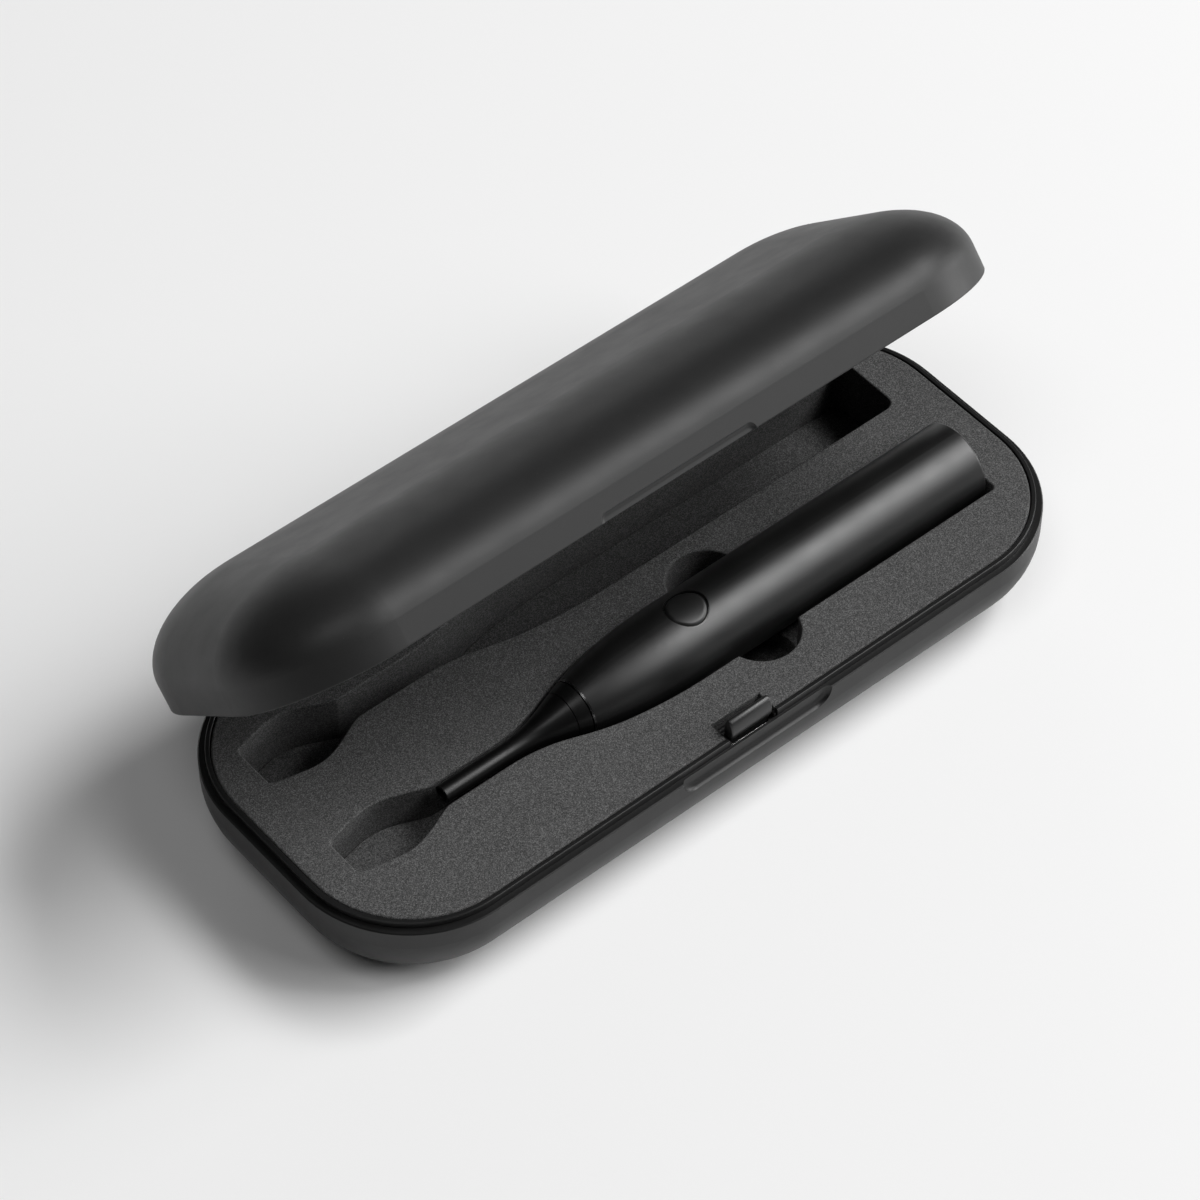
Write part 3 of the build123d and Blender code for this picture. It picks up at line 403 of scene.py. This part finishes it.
def foam_bed(finish):
    """The bed in the base: two pockets cut through an upper layer, with floors of their own."""
    bed = Cut(in_case)
    brush = brush_pocket(notch=1)
    spare = spare_pocket(corner=SPARE_CORNER)
    rim = outline(FOAM_PLAN, LATCH_NOTCH_HALF, LATCH_NOTCH_BACK)
    openings = [bed.soft_edge(loop, FOAM_TOP, -1, -1) for loop in (brush, spare)]
    outer = bed.soft_edge(rim, FOAM_TOP, -1, 1)
    outer.append(bed.ring(rim, LATCH_NOTCH_FLOOR))
    turn_z = FOAM_BOTTOM + FOAM_UNDER_RADIUS
    for a in np.linspace(0, math.pi / 2, UNDER_STEPS):
        drawn_in = FOAM_UNDER_RADIUS * (1 - math.cos(a))
        under = outline(FOAM_PLAN, LATCH_NOTCH_HALF, -FOAM_HALF_WIDTH, drawn_in)
        if a == 0:
            outer.append(bed.ring(under, LATCH_NOTCH_FLOOR))
        outer.append(bed.ring(under, turn_z - FOAM_UNDER_RADIUS * math.sin(a)))
    bed.bands(outer)
    bed.cap(outer[0], openings[0][0], openings[1][0])
    bed.cap(outer[-1])
    for rings, loop in zip(openings, (brush, spare)):
        rings.append(bed.ring(loop, BED_CUT_FLOOR))
        bed.bands(rings)
        bed.cap(rings[-1])
        bed.layer(loop, BED_DEEP, BED_CUT_FLOOR + LAYER_SEAT)
    bitten = brush_pocket(notch=-1)
    lowest = BED_DEEP + LAYER_SEAT
    bed.layer(keep_side(bitten, STEM_START, 1), BED_BRUSH_FLOOR, lowest)
    bed.layer(keep_side(brush, STEM_START, -1), BED_HEAD_FLOOR, lowest)
    bed.layer(keep_side(spare, STEM_START, -1), BED_SPARE_HEAD_FLOOR, lowest)
    bed.finish("foam_bed", finish, "base", "foam_insert")


def lid_lining(finish):
    """The foam in the lid: a flat face with a channel over each brush, crowned like the lid."""
    lining = Cut(in_lid)
    brush = brush_pocket()
    spare = spare_pocket()
    rim = outline(LID_FOAM_PLAN, LID_NOTCH_HALF, LID_NOTCH_BACK)
    outer = lining.soft_edge(rim, LID_FACE, 1, 1)
    for a in np.linspace(0, math.pi / 2, CROWN_STEPS):
        drawn_in = LID_CROWN_RUN * (1 - math.cos(a))
        crown = outline(LID_FOAM_PLAN, LID_NOTCH_HALF, LID_NOTCH_BACK, drawn_in)
        rise = (LID_CROWN_TOP - LID_CROWN_START) * math.sin(a)
        outer.append(lining.ring(crown, LID_CROWN_START + rise))
    lining.bands(outer)
    openings = [lining.soft_edge(loop, LID_FACE, 1, -1) for loop in (brush, spare)]
    lining.cap(outer[0], openings[0][0], openings[1][0])
    lining.cap(outer[-1])
    for rings, loop, roof in zip(openings, (brush, spare), (LID_HANDLE_ROOF, LID_HEAD_ROOF)):
        rings.append(lining.ring(loop, roof + LID_CUT_DEPTH))
        lining.bands(rings)
        lining.cap(rings[-1])
        lining.layer(loop, roof, roof + LID_CUT_DEPTH - LAYER_SEAT)
    lining.layer(keep_side(brush, STEM_START, -1), LID_HEAD_ROOF, LID_HANDLE_ROOF - LAYER_SEAT)
    lining.finish("lid_lining", finish, "lid", "lid_foam")


# ================================================================ button
class Turned:
    """A piece that follows the handle's round top: rings about the button's middle."""

    def __init__(self):
        self.mesh = bmesh.new()
        self.rings = []

    def ring(self, radius, drop):
        """A ring of points at a radius, set under the line of the handle by drop."""
        points = []
        for step in range(BUTTON_ROUND):
            turn = 2 * math.pi * step / BUTTON_ROUND
            across = radius * math.sin(turn)
            height = math.sqrt(HANDLE_RADIUS**2 - across**2) - drop
            points.append(self.mesh.verts.new(
                in_case(BUTTON_X + radius * math.cos(turn), BRUSH_Y + across, BRUSH_AXIS_Z + height)
            ))
        if self.rings:
            join_rings(self.mesh, self.rings[-1], points)
        self.rings.append(points)

    def finish(self, name, finish, body, node, closed):
        """Closed joins the last ring to the first; otherwise each gets a face across it."""
        if closed:
            join_rings(self.mesh, self.rings[-1], self.rings[0])
        else:
            self.mesh.faces.new(self.rings[0])
            self.mesh.faces.new(self.rings[-1])
        piece = new_piece(self.mesh, name, finish, PART_SHARP_ANGLE)
        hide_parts(node)
        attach(piece, body)


def bevelled_cap(finish):
    """The power button's cap: a lightly dished face with a broad soft bevel round it."""
    cap = Turned()
    for share in CAP_FACE_RINGS:
        cap.ring(CAP_FACE * share, CAP_RISE + CAP_DISH * (1 - share**2))
    for share, fall in CAP_BEVEL_CURVE:
        cap.ring(CAP_FACE + (CAP_SIDE - CAP_FACE) * share, CAP_RISE + CAP_BEVEL * fall)
    cap.ring(CAP_SIDE, CAP_SKIRT)
    cap.finish("button_cap", finish, "button", "power_button", closed=False)


def gap_ring(finish):
    """The dark ring at the foot of the gap round the cap."""
    ring = Turned()
    ring.ring(GAP_RING_INNER, GAP_RING_TOP)
    ring.ring(GAP_RING_OUTER, GAP_RING_TOP)
    ring.ring(GAP_RING_OUTER, CAP_SKIRT)
    ring.ring(GAP_RING_INNER, CAP_SKIRT)
    ring.finish("cap_ring", finish, "toothbrush", "button_ring", closed=True)


# ================================================================ catch
def catch_curve(bulge, angles):
    """Points of the bar's curve, forwards where the bulge is negative."""
    return [
        (CATCH_MIDDLE_Y + bulge * math.cos(a), CATCH_MIDDLE_Z + CATCH_ROUND * math.sin(a))
        for a in angles
    ]


def catch_bar(finish):
    """The catch as a plump bar: round over the top and in front, flat behind, with soft ends."""
    top = math.pi / 2
    front = catch_curve(-CATCH_FORWARD, np.linspace(-CATCH_UNDERCUT, top, CATCH_FRONT_STEPS))
    back = catch_curve(CATCH_BACKWARD, np.linspace(top, 0, CATCH_BACK_STEPS)[1:])
    profile = front + back + [(back[-1][0], CATCH_FOOT_Z), (front[0][0], CATCH_FOOT_Z)]
    mesh = bmesh.new()
    rings = []
    for side in (-1, 1):
        soft = []
        for a in np.linspace(0, top, CATCH_END_STEPS):
            section = inset(profile[::-1], CATCH_END * (1 - math.sin(a)))
            x = side * (CATCH_HALF - CATCH_END * (1 - math.cos(a)))
            soft.append([mesh.verts.new(in_case(x, y, z)) for y, z in section])
        rings += soft if side < 0 else soft[::-1]
    for near, far in zip(rings, rings[1:]):
        join_rings(mesh, near, far)
    mesh.faces.new(rings[0])
    mesh.faces.new(rings[-1])
    piece = new_piece(mesh, "catch_bar", finish, PART_SHARP_ANGLE)
    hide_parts("latch_catch")
    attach(piece, "catch")


# ================================================================ shader parts
PER_METRE = 1 / MM             # millimetres in a metre
NOISE_LOW, NOISE_HIGH = 0.3, 0.7
PLASTIC_MOTTLE = 26.0          # size of the slow mottle, in mm
FOAM_MOTTLE = 18.0
METAL_MOTTLE = 6.0
PLASTIC_RIM = 0.4              # width of the edge band painted lighter as a highlight and polished, in mm
# the same for metal: edges painted lighter as a highlight, and polished
METAL_RIM = 0.2


def add_node(tree, kind, values=None, **settings):
    """A shader node with values on its sockets, by name or number, and its settings."""
    made = tree.nodes.new(kind)
    for key, value in settings.items():
        setattr(made, key, value)
    for key, value in (values or {}).items():
        if isinstance(value, bpy.types.NodeSocket):
            tree.links.new(value, made.inputs[key])
        else:
            made.inputs[key].default_value = value
    return made


def worked_out(tree, kind, a, b, c=None):
    """The result of a Math node on two or three numbers or sockets."""
    values = {0: a, 1: b} if c is None else {0: a, 1: b, 2: c}
    return add_node(tree, "ShaderNodeMath", values, operation=kind).outputs[0]


def spread(tree, value, low, high, to_low=0.0, to_high=1.0):
    """A value's range low to high, carried over to another range."""
    values = {
        "Value": value, "From Min": low, "From Max": high, "To Min": to_low, "To Max": to_high
    }
    return add_node(tree, "ShaderNodeMapRange", values, clamp=True).outputs["Result"]


def blend_colour(tree, share, first, second):
    """Two colours mixed by a share."""
    values = {0: share, 6: first, 7: second}
    return add_node(tree, "ShaderNodeMix", values, data_type="RGBA").outputs[2]


def own_place(tree):
    """Places in the piece's own frame, so that a texture moves with its piece."""
    return add_node(tree, "ShaderNodeTexCoord").outputs["Object"]


def noise(tree, place, scale, detail, roughness=0.5):
    """Soft random values, mostly within NOISE_LOW to NOISE_HIGH."""
    values = {"Vector": place, "Scale": scale, "Detail": detail, "Roughness": roughness}
    return add_node(tree, "ShaderNodeTexNoise", values).outputs["Fac"]


def both_ways(tree, value):
    """A noise's values carried over to the range -1 to 1."""
    return spread(tree, value, NOISE_LOW, NOISE_HIGH, -1.0, 1.0)


def new_effect(name, inputs, outputs):
    """An empty node group with number sockets; returns it with its input and output nodes."""
    group = bpy.data.node_groups.new(name, "ShaderNodeTree")
    for label, value in inputs:
        socket = group.interface.new_socket(label, in_out="INPUT", socket_type="NodeSocketFloat")
        socket.default_value = value
    for label in outputs:
        group.interface.new_socket(label, in_out="OUTPUT", socket_type="NodeSocketFloat")
    return group, group.nodes.new("NodeGroupInput"), group.nodes.new("NodeGroupOutput")


def make_moulded_grain():
    """The fine spark-eroded texture of a mould: tiny soft pits, given by their size in mm."""
    group, given, result = new_effect("moulded grain", [("Size", 0.3)], ["Height", "Tone"])
    pit_softness, pit_share = 0.6, 0.6
    place = own_place(group)
    scale = worked_out(group, "DIVIDE", PER_METRE, given.outputs["Size"])
    fine = noise(group, place, scale, 2.0, 0.6)
    values = {"Vector": place, "Scale": scale, "Smoothness": pit_softness}
    pits = add_node(group, "ShaderNodeTexVoronoi", values, feature="SMOOTH_F1").outputs["Distance"]
    height = worked_out(group, "MULTIPLY_ADD", pits, pit_share, fine)
    group.links.new(height, result.inputs["Height"])
    group.links.new(both_ways(group, fine), result.inputs["Tone"])
    return group


def make_slow_mottle():
    """Broad, faint unevenness of a surface from moulding and handling."""
    group, given, result = new_effect("slow mottle", [("Size", 30.0)], ["Tone", "Gloss"])
    gloss_fineness = 2.7
    place = own_place(group)
    scale = worked_out(group, "DIVIDE", PER_METRE, given.outputs["Size"])
    finer = worked_out(group, "MULTIPLY", scale, gloss_fineness)
    tone = noise(group, place, scale, 4.0, 0.55)
    gloss = noise(group, place, finer, 5.0, 0.6)
    group.links.new(both_ways(group, tone), result.inputs["Tone"])
    group.links.new(both_ways(group, gloss), result.inputs["Gloss"])
    return group


def make_edge_highlight_and_polish():
    """A mask of the outward and inward edges, broken up: where their colour is painted lighter as a
    highlight, and where hands polish a surface.
    """
    group, given, result = new_effect("edge highlight and polish", [("Width", 0.4)], ["Edge"])
    flat, bent = 0.995, 0.85           # how far the rounded normal agrees with the plain one
    patch_scale, patch_low, patch_high, least = 260.0, 0.3, 0.62, 0.35
    radius = worked_out(group, "MULTIPLY", given.outputs["Width"], MM)
    rounded = add_node(group, "ShaderNodeBevel", {"Radius": radius}, samples=4).outputs["Normal"]
    plain = add_node(group, "ShaderNodeNewGeometry").outputs["Normal"]
    agree = add_node(
        group, "ShaderNodeVectorMath", {0: rounded, 1: plain}, operation="DOT_PRODUCT"
    ).outputs["Value"]
    mask = spread(group, agree, flat, bent)
    patches = noise(group, own_place(group), patch_scale, 3.0)
    broken = spread(group, patches, patch_low, patch_high, least, 1.0)
    group.links.new(worked_out(group, "MULTIPLY", mask, broken), result.inputs["Edge"])
    return group


def make_dust():
    """Sparse specks of dust and lint that settle on surfaces that face up."""
    group, given, result = new_effect("settled dust", [("Amount", 0.5)], ["Dust"])
    speck_scale = 1500.0
    speck_outside, speck_inside = 0.2, 0.06        # how far from a speck's middle
    chance_low, chance_high = 0.988, 0.994         # few of the specks are dusty ones
    steep, level = 0.2, 0.9                        # how far the surface faces up
    values = {"Vector": own_place(group), "Scale": speck_scale}
    specks = add_node(group, "ShaderNodeTexVoronoi", values).outputs
    chance = add_node(group, "ShaderNodeSeparateColor", {0: specks["Color"]}).outputs[0]
    normal = add_node(group, "ShaderNodeNewGeometry").outputs["Normal"]
    facing = add_node(group, "ShaderNodeSeparateXYZ", {0: normal}).outputs["Z"]
    near = spread(group, specks["Distance"], speck_outside, speck_inside)
    chosen = spread(group, chance, chance_low, chance_high)
    up = spread(group, facing, steep, level)
    mask = worked_out(group, "MULTIPLY", worked_out(group, "MULTIPLY", near, chosen), up)
    dust = worked_out(group, "MULTIPLY", mask, given.outputs["Amount"])
    group.links.new(dust, result.inputs["Dust"])
    return group


def make_drawn_lines():
    """Fine lines that run round or along a drawn, turned or wound piece."""
    group, given, result = new_effect("drawn lines", [("Spacing", 0.2)], ["Height", "Tone"])
    wander_scale, wander_share = 300.0, 0.8
    place = own_place(group)
    along = add_node(group, "ShaderNodeSeparateXYZ", {0: place}).outputs["X"]
    along_mm = worked_out(group, "MULTIPLY", along, PER_METRE)
    phase = worked_out(group, "DIVIDE", along_mm, given.outputs["Spacing"])
    turns = worked_out(group, "MULTIPLY", phase, 2 * math.pi)
    wander = noise(group, place, wander_scale, 2.0)
    turned = worked_out(group, "MULTIPLY_ADD", wander, wander_share, turns)
    wave = add_node(group, "ShaderNodeMath", {0: turned}, operation="SINE").outputs[0]
    lines = worked_out(group, "MULTIPLY_ADD", wave, 0.5, 0.5)
    group.links.new(lines, result.inputs["Height"])
    group.links.new(worked_out(group, "MULTIPLY_ADD", wander, 2.0, -1.0), result.inputs["Tone"])
    return group


moulded_grain = make_moulded_grain()
slow_mottle = make_slow_mottle()
edge_highlight_and_polish = make_edge_highlight_and_polish()
settled_dust = make_dust()
drawn_lines = make_drawn_lines()


def place_effect(tree, group, **values):
    """A node group in a material with its own values."""
    made = tree.nodes.new("ShaderNodeGroup")
    made.node_tree = group
    for key, value in values.items():
        made.inputs[key].default_value = value
    return made.outputs


def grey(level, warm=0.0):
    """A near-neutral colour."""
    return (level * (1 + warm), level, level * (1 - warm), 1.0)


def toned(colour, factor, lift=0.0, most=1.0):
    """A colour made lighter or darker by a factor, and lifted evenly."""
    return tuple(min(c * factor + lift, most) for c in colour[:3]) + (1.0,)


def shader_of(name, **sockets):
    """A material with a Principled shader and plain values on the shader's own sockets."""
    made = bpy.data.materials.new(name)
    made.use_nodes = True
    tree = made.node_tree
    tree.nodes.clear()
    output = tree.nodes.new("ShaderNodeOutputMaterial")
    shader = tree.nodes.new("ShaderNodeBsdfPrincipled")
    tree.links.new(shader.outputs[0], output.inputs["Surface"])
    for key, value in sockets.items():
        shader.inputs[key.replace("_", " ")].default_value = value
    return made, tree, shader


def set_bump(tree, shader, height, depth):
    """Fine relief that follows a height, with its depth in mm."""
    bump = add_node(tree, "ShaderNodeBump", {"Distance": depth * MM, "Height": height})
    tree.links.new(bump.outputs[0], shader.inputs["Normal"])


def moulded(name, colour, roughness, grain, depth, edge=0.25, mottle=0.05, dust=0.3, **sockets):
    """A moulded plastic or rubber: grain in mm, depth in mm, edge and mottle as shares; edge is the
    share of the painted highlight and of the polish along edges.
    """
    made, tree, shader = shader_of(name, **sockets)
    grain_share, gloss_share, edge_gloss = 0.16, 0.03, -0.12
    darkest, lightest = 0.7, 1.3       # of the colour, where the grain and mottle are strongest
    # how much lighter the edges are painted, as a highlight
    highlight_factor, highlight_lift = 1.7, 0.011
    fine = place_effect(tree, moulded_grain, Size=grain)
    broad = place_effect(tree, slow_mottle, Size=PLASTIC_MOTTLE)
    rim = place_effect(tree, edge_highlight_and_polish, Width=PLASTIC_RIM)["Edge"]
    specks = place_effect(tree, settled_dust, Amount=dust)["Dust"]
    fine_tone = worked_out(tree, "MULTIPLY_ADD", fine["Tone"], grain_share, 0.5)
    tone = worked_out(tree, "MULTIPLY_ADD", broad["Tone"], mottle, fine_tone)
    body_colour = blend_colour(tree, tone, toned(colour, darkest), toned(colour, lightest))
    # the edges' colour painted lighter, as a highlight along them
    highlight_share = worked_out(tree, "MULTIPLY", rim, edge)
    highlighted = blend_colour(tree, highlight_share, body_colour, toned(colour, highlight_factor, highlight_lift))
    dusted = blend_colour(tree, specks, highlighted, grey(0.32))
    tree.links.new(dusted, shader.inputs["Base Color"])
    # the same mask makes the edges glossier, as polish
    worn = worked_out(tree, "MULTIPLY_ADD", rim, edge_gloss * edge, roughness)
    uneven = worked_out(tree, "MULTIPLY_ADD", broad["Gloss"], gloss_share, worn)
    tree.links.new(uneven, shader.inputs["Roughness"])
    set_bump(tree, shader, fine["Height"], depth)
    return made


def metal(name, colour, roughness, spacing, depth, **sockets):
    """A drawn, turned or wound metal with fine lines across its length."""
    made, tree, shader = shader_of(name, Metallic=1.0, **sockets)
    mottle, gloss_share = 0.2, 0.05
    # bright and brightest: how much lighter the edges are painted, as a highlight
    groove, bright, brightest = 0.82, 1.12, 0.95
    lines = place_effect(tree, drawn_lines, Spacing=spacing)
    broad = place_effect(tree, slow_mottle, Size=METAL_MOTTLE)
    rim = place_effect(tree, edge_highlight_and_polish, Width=METAL_RIM)["Edge"]
    tone = worked_out(tree, "MULTIPLY_ADD", broad["Tone"], mottle, lines["Height"])
    lined = blend_colour(tree, tone, toned(colour, groove), colour)
    # the edges' colour painted lighter, as a highlight along them
    highlighted = blend_colour(tree, rim, lined, toned(colour, bright, most=brightest))
    tree.links.new(highlighted, shader.inputs["Base Color"])
    uneven = worked_out(tree, "MULTIPLY_ADD", broad["Gloss"], gloss_share, roughness)
    tree.links.new(uneven, shader.inputs["Roughness"])
    set_bump(tree, shader, lines["Height"], depth)
    return made


def cut_foam():
    """Charcoal closed-cell foam: dense fine cells with lighter flecks, quite matt."""
    made, tree, shader = shader_of("charcoal cut foam", Specular_IOR_Level=0.45)
    cell_scale, grain_scale = 4700.0, 3400.0
    grain_low, grain_high = 0.32, 0.68
    grain_share, fleck_share, mottle = 0.35, 0.65, 0.02
    fleck_rarity = 2.2             # the higher, the fewer light cells
    rough_dark, rough_light = 0.98, 0.8
    cell_relief, depth = 0.5, 0.03
    place = own_place(tree)
    values = {"Vector": place, "Scale": cell_scale}
    cells = add_node(tree, "ShaderNodeTexVoronoi", values).outputs
    chance = add_node(tree, "ShaderNodeSeparateColor", {0: cells["Color"]}).outputs[0]
    fine = noise(tree, place, grain_scale, 3.0, 0.7)
    broad = place_effect(tree, slow_mottle, Size=FOAM_MOTTLE)
    rare = worked_out(tree, "POWER", chance, fleck_rarity)
    flecks = worked_out(tree, "MULTIPLY", rare, fleck_share)
    grains = spread(tree, fine, grain_low, grain_high)
    speckle = worked_out(tree, "MULTIPLY_ADD", grains, grain_share, flecks)
    tone = worked_out(tree, "MULTIPLY_ADD", broad["Tone"], mottle, speckle)
    body_colour = blend_colour(tree, tone, grey(0.010), grey(0.155))
    specks = place_effect(tree, settled_dust, Amount=0.2)["Dust"]
    tree.links.new(blend_colour(tree, specks, body_colour, grey(0.3)), shader.inputs["Base Color"])
    rough = spread(tree, speckle, 0.0, 1.0, rough_dark, rough_light)
    tree.links.new(rough, shader.inputs["Roughness"])
    height = worked_out(tree, "MULTIPLY_ADD", cells["Distance"], cell_relief, fine)
    set_bump(tree, shader, height, depth)
    return made


def circuit():
    """A circuit board: dark green mask over copper tracks, with a matt weave."""
    made, tree, shader = shader_of("solder mask", Specular_IOR_Level=0.5)
    mask_green, track_green = (0.004, 0.045, 0.018, 1.0), (0.02, 0.14, 0.05, 1.0)
    track_scale, track_width, depth = 420.0, 0.03, 0.02
    glossy, matt = 0.3, 0.42
    values = {
        "Vector": own_place(tree), "Scale": track_scale, "Mortar Size": track_width, "Bias": 0.2
    }
    tracks = add_node(tree, "ShaderNodeTexBrick", values).outputs["Fac"]
    fine = place_effect(tree, moulded_grain, Size=0.25)
    tone = blend_colour(tree, tracks, mask_green, track_green)
    tree.links.new(tone, shader.inputs["Base Color"])
    rough = spread(tree, fine["Tone"], -1.0, 1.0, glossy, matt)
    tree.links.new(rough, shader.inputs["Roughness"])
    set_bump(tree, shader, tracks, depth)
    return made


# ================================================================ finishes
shell = moulded(
    "soft-touch shell", grey(0.017), 0.46, 0.2, 0.009, edge=0.3, dust=0.1, Specular_IOR_Level=0.32
)
# The base's shell: the lid's soft-touch plastic, painted much darker as painted shade, with a full
# painted highlight along its edges.
lower_shell_painted_darker = moulded(
    "soft-touch lower shell, painted darker", grey(0.0022), 0.44, 0.2, 0.007, edge=1.0, dust=0.1,
    Specular_IOR_Level=0.4
)
lip = moulded(
    "lip plastic", grey(0.009), 0.36, 0.2, 0.004, edge=0.3, dust=0.1, Specular_IOR_Level=0.28
)
foam = cut_foam()
handle = moulded(
    "satin handle", grey(0.002), 0.41, 0.18, 0.004, edge=0.15, dust=0.05, Specular_IOR_Level=0.6
)
stem = moulded(
    "satin stem", grey(0.002), 0.34, 0.18, 0.002, edge=0.15, dust=0.05, Specular_IOR_Level=0.36
)
button = moulded("button cap", grey(0.006), 0.42, 0.18, 0.004, edge=0.2, dust=0.05)
surround = moulded("button surround", grey(0.004), 0.28, 0.18, 0.002, edge=0.4, dust=0.05)
latch = moulded("latch plastic", grey(0.012), 0.38, 0.2, 0.004, edge=0.35, dust=0.05)
rubber = moulded("foot rubber", grey(0.014), 0.72, 0.4, 0.012, edge=0.2)
seal = moulded("seal rubber", grey(0.010), 0.5, 0.3, 0.004, edge=0.1)
frame_plastic = moulded("inner frame plastic", grey(0.42), 0.5, 0.3, 0.004, edge=0.1, dust=0.0)
switch_plastic = moulded("switch plastic", grey(0.022), 0.4, 0.2, 0.003, edge=0.2, dust=0.0)
sintered = moulded("sintered ferrite", grey(0.03, 0.02), 0.55, 0.18, 0.01, edge=0.1, dust=0.0)
wrap = moulded("cell wrap", (0.02, 0.07, 0.16, 1.0), 0.28, 0.5, 0.004, edge=0.2, dust=0.0)
trim = metal("dark trim ring", grey(0.16), 0.24, 0.12, 0.001)
pin_steel = metal("pin steel", grey(0.56), 0.28, 0.14, 0.001)
spring_steel = metal("spring steel", grey(0.5, 0.02), 0.32, 0.3, 0.001)
drawn_can = metal("drawn steel can", grey(0.52), 0.36, 0.5, 0.001)
copper = metal("enamelled copper wire", (0.62, 0.24, 0.1, 1.0), 0.3, 0.28, 0.03)
bronze = metal("sintered bronze", (0.48, 0.31, 0.14, 1.0), 0.46, 0.2, 0.004)
board = circuit()

FINISHES = {
    shell: ("lid_shell",),
    lower_shell_painted_darker: ("base_shell",),
    lip: ("rim_frame",),
    handle: ("handle_shell", "end_cap"),
    stem: ("brush_stem", "head_collar"),
    button: ("power_button",),
    surround: ("button_ring",),
    latch: ("latch_catch", "latch_housing", "latch_claw"),
    rubber: ("base_feet",),
    seal: ("end_cap_seal", "button_membrane", "shaft_seal"),
    frame_plastic: ("chassis",),
    switch_plastic: ("tact_switch",),
    sintered: ("coil_core", "motor_magnet"),
    wrap: ("battery_cell",),
    trim: ("trim_ring",),
    pin_steel: ("hinge_pins", "hinge_washers", "latch_pin", "board_screws", "drive_shaft"),
    spring_steel: ("latch_spring", "battery_contacts"),
    drawn_can: ("motor_housing",),
    copper: ("charging_coil", "motor_windings"),
    bronze: ("shaft_bushings",),
    board: ("circuit_board",),
}
for finish, names in FINISHES.items():
    for name in names:
        piece = frame["nodes"][name]
        if not piece.material_slots:
            piece.data.materials.append(finish)
        for slot in piece.material_slots:
            slot.material = finish

foam_bed(foam)
lid_lining(foam)
bevelled_cap(button)
gap_ring(surround)
catch_bar(latch)

# ================================================================ camera
AIM = Vector((-2.83, 7.95, 25.6)) * MM           # where the camera and the lamps look
TOWARDS_CAMERA = Vector((-0.4160, -0.4972, 0.7614)).normalized()
CAMERA_DISTANCE = 1.0432
camera_data = bpy.data.cameras.new("camera")
camera_data.sensor_width = 36.0
camera_data.lens = 130.69
camera_data.clip_start = 0.01
camera_data.clip_end = 50.0
camera = bpy.data.objects.new("camera", camera_data)
camera.location = AIM + TOWARDS_CAMERA * CAMERA_DISTANCE
camera.rotation_mode = "QUATERNION"
camera.rotation_quaternion = (-TOWARDS_CAMERA).to_track_quat("-Z", "Y")
bpy.context.scene.collection.objects.link(camera)
bpy.context.scene.camera = camera

# ================================================================ floor and light
FLOOR_HALF = 6.0               # the sheet reaches this far each way, in metres
FLOOR_CELLS = 24
FLOOR_DROP = 0.02 * MM         # the sheet lies this far under the feet
FLOOR_MOTTLE = 240.0           # size of the paper's mottle, in mm
FLOOR_MOTTLE_SHARE = 0.3
LAMP_DISTANCE = 3.6
AMBIENT = 0.025                # strength of the even light from all round
PALE_WALL = 0.86               # and of the wall that only the camera sees


def pale_floor():
    """A wide, plain sheet of studio paper that the case stands on."""
    made, tree, shader = shader_of("studio paper", Specular_IOR_Level=0.0, Roughness=0.9)
    broad = place_effect(tree, slow_mottle, Size=FLOOR_MOTTLE)
    tone = worked_out(tree, "MULTIPLY_ADD", broad["Tone"], FLOOR_MOTTLE_SHARE, 0.5)
    tree.links.new(blend_colour(tree, tone, grey(0.858), grey(0.866)), shader.inputs["Base Color"])
    sheet = bmesh.new()
    bmesh.ops.create_grid(
        sheet, x_segments=FLOOR_CELLS, y_segments=FLOOR_CELLS, size=FLOOR_HALF
    )
    data = bpy.data.meshes.new("studio_floor")
    sheet.to_mesh(data)
    sheet.free()
    data.materials.append(made)
    floor = bpy.data.objects.new("studio_floor", data)
    floor.location.z = -FLOOR_DROP
    bpy.context.scene.collection.objects.link(floor)


def softbox(name, azimuth, height, size, watts):
    """A soft lamp that looks at the case, placed by its angles round it and above the floor."""
    data = bpy.data.lights.new(name, "AREA")
    data.shape = "RECTANGLE"
    data.size, data.size_y = size
    data.energy = watts
    lamp = bpy.data.objects.new(name, data)
    turn, rise = math.radians(azimuth), math.radians(height)
    outwards = math.cos(rise)
    direction = Vector((outwards * math.cos(turn), outwards * math.sin(turn), math.sin(rise)))
    lamp.location = AIM + direction * LAMP_DISTANCE
    lamp.rotation_mode = "QUATERNION"
    lamp.rotation_quaternion = (-direction).to_track_quat("-Z", "Y")
    bpy.context.scene.collection.objects.link(lamp)


def studio_air():
    """A dim, even light from all round; straight behind the floor there is a pale wall."""
    world = bpy.data.worlds.new("studio")
    world.use_nodes = True
    tree = world.node_tree
    tree.nodes.clear()
    output = tree.nodes.new("ShaderNodeOutputWorld")
    rays = tree.nodes.new("ShaderNodeLightPath").outputs
    lit = add_node(tree, "ShaderNodeBackground", {"Color": grey(1.0), "Strength": AMBIENT})
    shown = add_node(tree, "ShaderNodeBackground", {"Color": grey(1.0), "Strength": PALE_WALL})
    values = {0: rays["Is Camera Ray"], 1: lit.outputs[0], 2: shown.outputs[0]}
    mixed = add_node(tree, "ShaderNodeMixShader", values)
    tree.links.new(mixed.outputs[0], output.inputs["Surface"])
    bpy.context.scene.world = world


pale_floor()
studio_air()
softbox("main softbox", -22, 51, (2.2, 1.1), 105.5)
softbox("low strip", -24, 11, (2.4, 0.8), 62.0)
softbox("front fill", -56, 40, (1.4, 1.4), 32.0)
softbox("rear strip", 66, 14, (1.6, 0.8), 7.0)
softbox("left fill", 200, 70, (1.6, 1.6), 22.0)
bpy.context.scene.view_settings.view_transform = "Standard"
